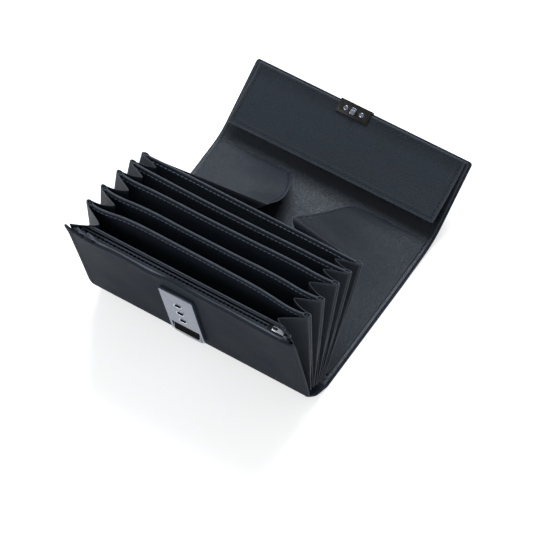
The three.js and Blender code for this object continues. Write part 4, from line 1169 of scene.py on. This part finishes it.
class WALLET_OT_zip(bpy.types.Operator):
    """Zip pocket: its rear wall with a turned top edge, the two tapes, the teeth, stops, slider and puller"""

    bl_idname = "wallet.zip"
    bl_label = "Zip pocket"

    def execute(self, context):
        self.wall()
        for node in ("zip_tape_front", "zip_tape_rear"):
            self.tape(node)
        self.tape_end("left", -85.5, -64.5)
        self.tape_end("right", 79.0, 83.0)
        for node in ("zip_teeth_front", "zip_teeth_rear", "zip_stop_left", "zip_stop_right"):
            dress(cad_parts[node], metal("coil"))
        polished_copy("zip_slider", 0.18, metal("black"), "steel", "slider")
        # The puller wears the lighter copy of the plating: painted highlight.
        polished_copy("zip_puller", 0.18, metal("rims"), "steel", "puller")
        return {"FINISHED"}

    @staticmethod
    def wall():
        """The pocket's rear wall, leaning back from the front cover."""
        lean = math.degrees(math.atan((POCKET_MOUTH - POCKET_FOOT) / FRONT_HEIGHT))
        half = 0.4
        place = flat_panel(FRONT(0, -POCKET_FOOT - 0.45), FRONT_ANGLE - lean, partition_sway)
        top = FRONT_HEIGHT + 1
        line = top - 2.6
        xs = stations(-HALF_DIVIDER, HALF_DIVIDER, 4, half, half)
        ss = stations(1, top, 4, half, half, in_from(top, SHEET_RIM + (4.6,)))
        relief = lambda x, s: hem(top - s, 4, 0.12, top - line, 0.15)
        wall = leather_sheet("zip_pocket_wall", xs, ss, place, half, relief, partition_trim,
                             lambda s: top - s)
        settle(wall, leather("inner"), "inner_leather", "front", "zip_pocket_partition")
        runs = [stitch_run(place, [(-75, line), (75, line)], n) for n in (half + 0.05, -half - 0.05)]
        settle(stitch_piece("zip_pocket_stitches", *runs), thread(False), "inner_leather", "front")

    @staticmethod
    def tape_end(word, low, high):
        """A tape's loose end, turned over and crumpled between the slider and the front cover."""
        flat = flat_panel(FRONT_FOOT, FRONT_ANGLE)
        fade = (high - low) / 4

        def place(x, v, n):
            x, v, n = np.broadcast_arrays(x, v, n)
            k = v / 10.0
            wall = front_sway(x, 93 + 0 * x) - 0.4
            reach = [np.minimum(smooth(d / fade) + 0.3, 1) for d in (x - low, high - x)]
            reach = reach[0] * reach[1]
            inner = -0.7 - 3.2 * smooth((np.abs(x) - 83) / 2)
            return flat(x, 93.4 + 1.9 * tape_fold(x, k) * reach + n, wall + (inner - wall) * k * reach)

        xs = stations(low, high, 0.5, 0.2, 0.2)
        vs = stations(0, 10, 0.7, 0.1, 0.1)
        piece = outward(leather_sheet(word + "_zip_tape_end", xs, vs, place, 0.2))
        settle(piece, woven_tape(), "zip_tape", "front")

    @staticmethod
    def tape(node):
        """A woven tape from its row of teeth to the leather: flat beside the slider, then
        up the wall by a smooth step, with small waves along it."""
        front = node == "zip_tape_front"
        inner, beside, end = (-1.25, -0.9, 84.6) if front else (-5.05, -5.75, 78.5)
        wall_height = 93.2
        flat = flat_panel(FRONT_FOOT, FRONT_ANGLE)

        def place(x, v, n):
            x, v, n = np.broadcast_arrays(x, v, n)
            k = v / 10.0
            s = wall_height + 0 * x
            wall = front_sway(x, s) - 0.35 if front else partition_sway(x, s) - pocket_width(s) + 0.25
            across = inner + (wall - inner) * k
            step = smooth((across - beside) / (wall - beside + 1e-6))
            low = 1.2 * (1 - k)
            rise = low + (4.8 - low) * step + 0.12 * np.sin(x / 4.5)
            return flat(x, 89 + rise + n, across)

        xs = stations(-end, end, 1.5, 0.2, 0.2)
        vs = stations(0, 10, 0.8, 0.1, 0.1)
        tape = outward(leather_sheet(node + "_cloth", xs, vs, place, 0.2))
        settle(tape, woven_tape(), "zip_tape", "front", node)


def polished_copy(node, width, material, slot, body):
    """A merged copy of a solid with its sharp edges rounded off."""
    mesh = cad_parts[node].data.copy()
    copy = bpy.data.objects.new(node + "_plated", mesh)
    bpy.context.scene.collection.objects.link(copy)
    outward(copy, merged=True)
    mesh.shade_smooth()
    bevel = copy.modifiers.new("Bevel", "BEVEL")
    bevel.width = width * MM
    bevel.segments = 3
    bevel.limit_method = "ANGLE"
    bevel.angle_limit = math.radians(32)
    bevel.harden_normals = True
    settle(copy, material, slot, body, node)


class WALLET_OT_lock(bpy.types.Operator):
    """Lock on the front cover: plated housing, thumb slide and base plate, with the plain parts inside"""

    bl_idname = "wallet.lock"
    bl_label = "Lock"

    def execute(self, context):
        polished_copy("lock_housing", 0.22, metal("chrome"), "chrome", "front")
        polished_copy("lock_thumb_slide", 0.3, metal("chrome"), "chrome", "lock_slide")
        polished_copy("lock_base_plate", 0.15, metal("steel"), "steel", "front")
        for name, kind, crescent, profile in (
                ("lock_slot_rims", "chrome", False,
                 ((0.0, 0.02), (0.75, -0.1), (0.7, 0.04), (0.3, 0.05), (0.05, 0.03))),
                # The lips wear a lighter copy of the plating: painted highlight.
                ("lock_slot_lips", "rims", True,
                 ((0.2, 0.1), (1.4, -0.1), (1.35, 0.4), (1.1, 0.9), (0.7, 1.15), (0.35, 1.05), (0.2, 0.7))),
                # Dark rings inside the slots, where the wall is plated: painted shade.
                ("lock_slot_liners", "shade", True,
                 ((0.19, 0.75), (0.08, 0.4), (-0.04, 0.05), (-0.08, -0.5), (-0.04, -1.0), (0.17, -1.0),
                  (0.17, -0.3), (0.3, 0.5)))):
            self.slot_ring(name, profile, metal(kind), crescent)
        self.grip()
        for node in ("lock_spring", "lock_backing_plate", "lock_rivet_1", "lock_rivet_2",
                     "lock_rivet_3", "lock_rivet_4"):
            dress(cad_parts[node], metal("steel"))
        dress(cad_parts["lock_latch_plate"], metal("black"))
        return {"FINISHED"}

    @staticmethod
    def slot_ring(name, profile, material, crescent):
        """A closed ring round each catch slot: an oval offset by the profile's (out, up). A
        crescent stands proud at the slot's lower side only, like a pressed lip."""
        place = flat_panel(FRONT_FOOT, FRONT_ANGLE)
        turn = full_turn(32)
        share = np.clip(0.55 - 0.75 * np.cos(turn - 1.3), 0.04, 1) if crescent else 1.0 + 0 * turn
        points, faces = [], []
        for i, height in enumerate(SLOT_HEIGHTS):
            for out, up in profile:
                out = min(out, 0.3) + max(out - 0.3, 0) * share
                up = min(up, 0) + max(up, 0) * share
                points.append(place(LOCK_CENTRE + (2.3 + out) * np.cos(turn),
                                    LOCK_FOOT + height + (1.1 + out) * np.sin(turn), LOCK_FACE + up))
            index = np.arange(len(turn)) + len(turn) * (np.arange(len(profile))[:, None] + i * len(profile))
            index = np.concatenate([index, index[:1]], 0)
            faces.append(grid_faces(np.concatenate([index, index[:, :1]], 1)))
        ring = outward(new_piece(name, np.concatenate(points), faces))
        settle(ring, material, "chrome", "front")

    @staticmethod
    def grip():
        """Dark ribbed sheet in the thumb slide's hollow, painted shade for the dark reflection
        that the plated hollow shows: it follows the hollow's quarter sine, with ribs as a
        rectified sine up it and rounded ends."""
        place = flat_panel(FRONT_FOOT, FRONT_ANGLE)
        low, high = 13.4, 24.0
        half = THUMB_WIDTH / 2 - 0.8

        def hollow(x, s, n):
            sink = LOCK_FACE + 0.6 - 1.5 * np.sin(0.5 * np.pi * np.clip((s - 13) / 11.2, 0, 1))
            return place(x + LOCK_CENTRE, s, sink + 0.1 + n)

        trim = round_corners(half, high, 4.5, low, 2.5)
        xs = stations(-half, half, 0.8, 0.15, 0.15)
        ss = stations(low, high, 0.25, 0.15, 0.15)
        ribs = lambda x, s: (0.32 * np.abs(np.sin(np.pi * (s - low) / 2.1)) ** 0.6, 0 * s)
        grip = leather_sheet("lock_thumb_grip", xs, ss, hollow, 0.1, ribs, trim)
        settle(grip, metal("grip"), "black_metal", "lock_slide")


class WALLET_OT_strike(bpy.types.Operator):
    """Strike on the flap's free edge: plate, catch hook and two rivets"""

    bl_idname = "wallet.strike"
    bl_label = "Strike"

    def execute(self, context):
        # The plate wears a dark copy of the plating: painted dark reflection.
        polished_copy("strike_plate", 0.2, metal("dark"), "chrome", "flap")
        polished_copy("strike_hook", 0.12, metal("chrome"), "chrome", "flap")
        for side, word in SIDES:
            self.rivet("strike_rivet_" + word, LOCK_CENTRE + 6.5 * side)
        return {"FINISHED"}

    @staticmethod
    def rivet(node, x):
        """A tubular rivet: a profile of radius and height turned round its axis, with an
        open rolled rim inside the flap and a flat head outside."""
        profile = np.array([(0.01, 1.5), (0.75, 1.55), (0.9, 2.5), (1.05, 3.05), (1.35, 3.2),
                            (1.7, 3.05), (1.9, 2.8), (1.85, 2.7), (0.8, 2.7), (0.8, -3.9),
                            (1.85, -3.9), (1.9, -4.0), (1.6, -4.25), (0.01, -4.3)])
        place = flat_panel(FLAP_FOOT, FLAP_ANGLE)
        turn = full_turn(24)
        radius, height = profile[:, :1], profile[:, 1:]
        rings = place(x + radius * np.cos(turn), FLAP_LENGTH - 4.5 + radius * np.sin(turn), height)
        settle(outward(ring_solid(node + "_tube", rings)), metal("chrome"), "chrome", "flap", node)


class WALLET_OT_stage(bpy.types.Operator):
    """Floor, lights, world and the camera at the photograph's angle"""

    bl_idname = "wallet.stage"
    bl_label = "Stage"

    def execute(self, context):
        context.scene.view_settings.view_transform = "Standard"
        self.floor()
        self.world()
        for name, (place, aim, size, power) in LIGHTS.items():
            self.softbox(name, Vector(place), Vector(aim), size, power)
        data = bpy.data.cameras.new("Camera")
        data.lens = FOCAL_PIXELS / PICTURE_PIXELS * SENSOR
        data.sensor_width = SENSOR
        data.clip_start, data.clip_end = 0.05, 20
        camera = bpy.data.objects.new("Camera", data)
        right, up = Vector(CAMERA_RIGHT).normalized(), Vector(CAMERA_UP).normalized()
        turn = Matrix((right, up, right.cross(up))).transposed()
        camera.matrix_world = Matrix.Translation(CAMERA_PLACE) @ turn.to_4x4()
        context.scene.collection.objects.link(camera)
        context.scene.camera = camera
        return {"FINISHED"}

    @staticmethod
    def softbox(name, place, aim, size, power):
        """A rectangular light at a place that faces its aim."""
        data = bpy.data.lights.new(name, "AREA")
        data.shape = "RECTANGLE"
        data.size, data.size_y = size
        data.energy = power
        data.color = LIGHT_COLOUR
        lamp = bpy.data.objects.new(name, data)
        lamp.location = place
        lamp.rotation_euler = (aim - place).to_track_quat("-Z", "Y").to_euler()
        bpy.context.scene.collection.objects.link(lamp)

    @staticmethod
    def floor():
        """A pale floor that glows a little to the camera and in mirrors, like a backdrop."""
        mesh = bpy.data.meshes.new("floor")
        mesh.from_pydata([(-6, -6, 0), (6, -6, 0), (6, 6, 0), (-6, 6, 0)], [], [(0, 1, 2, 3)])
        obj = bpy.data.objects.new("floor", mesh)
        bpy.context.scene.collection.objects.link(obj)

        def fill(tree, shader):
            at = tree.add("TexCoord", {})["Object"]
            cloud = tree.add("TexNoise", {"Scale": 2.0, "Vector": at})["Fac"]
            ray = tree.add("LightPath", {})
            mirrored = tree.math("MAXIMUM", ray["Is Glossy Ray"], ray["Is Transmission Ray"])
            glow = tree.math("MAXIMUM", tree.math("MULTIPLY", ray["Is Camera Ray"], 0.62),
                             tree.math("MULTIPLY", mirrored, 0.35))
            tree.feed(shader, {
                "Base Color": tree.mix(cloud, (0.86, 0.86, 0.87, 1), (0.9, 0.9, 0.9, 1)),
                "Roughness": 0.7, "Specular IOR Level": 0.2,
                "Emission Color": (1, 1, 1, 1), "Emission Strength": glow})

        dress(obj, make_material("Pale Floor", fill))

    @staticmethod
    def world():
        """A white world, brighter to the camera than to the object."""
        world = bpy.data.worlds.new("Studio")
        world.use_nodes = True
        tree = Tree(world.node_tree)
        seen = tree.add("LightPath", {})["Is Camera Ray"]
        strength = tree.math("MULTIPLY_ADD", seen, 0.66, 0.34)
        tree.feed(tree.nodes["Background"], {"Color": (1, 1, 1, 1), "Strength": strength})
        bpy.context.scene.world = world


STEPS = ("stage", "back", "bottom", "front", "flap", "flap_panel", "dividers", "pleats", "coin_gusset",
         "zip", "lock", "strike")


class WALLET_PT_sidebar(bpy.types.Panel):
    """Lists the wallet's colours, sizes and pieces"""

    bl_idname = "WALLET_PT_sidebar"
    bl_label = "Waiter's Wallet"
    bl_space_type = "VIEW_3D"
    bl_region_type = "UI"
    bl_category = "Wallet"

    def draw(self, context):
        for group in (context.scene.wallet_look, context.scene.wallet_sizes):
            box = self.layout.box()
            for name in group.bl_rna.properties.keys():
                if name not in {"rna_type", "name"}:
                    box.prop(group, name)
        for name in STEPS:
            self.layout.operator("wallet." + name)


CLASSES = (WalletLook, WalletSizes, WALLET_OT_stage, WALLET_OT_back, WALLET_OT_bottom, WALLET_OT_front,
           WALLET_OT_flap, WALLET_OT_flap_panel, WALLET_OT_dividers, WALLET_OT_pleats,
           WALLET_OT_coin_gusset, WALLET_OT_zip, WALLET_OT_lock, WALLET_OT_strike, WALLET_PT_sidebar)


def register():
    for cls in CLASSES:
        bpy.utils.register_class(cls)
    bpy.types.Scene.wallet_look = bpy.props.PointerProperty(type=WalletLook)
    bpy.types.Scene.wallet_sizes = bpy.props.PointerProperty(type=WalletSizes)


def unregister():
    del bpy.types.Scene.wallet_look
    del bpy.types.Scene.wallet_sizes
    for cls in reversed(CLASSES):
        bpy.utils.unregister_class(cls)


def main():
    register()
    for name in STEPS:
        getattr(bpy.ops.wallet, name)()


if __name__ == "__main__":
    main()
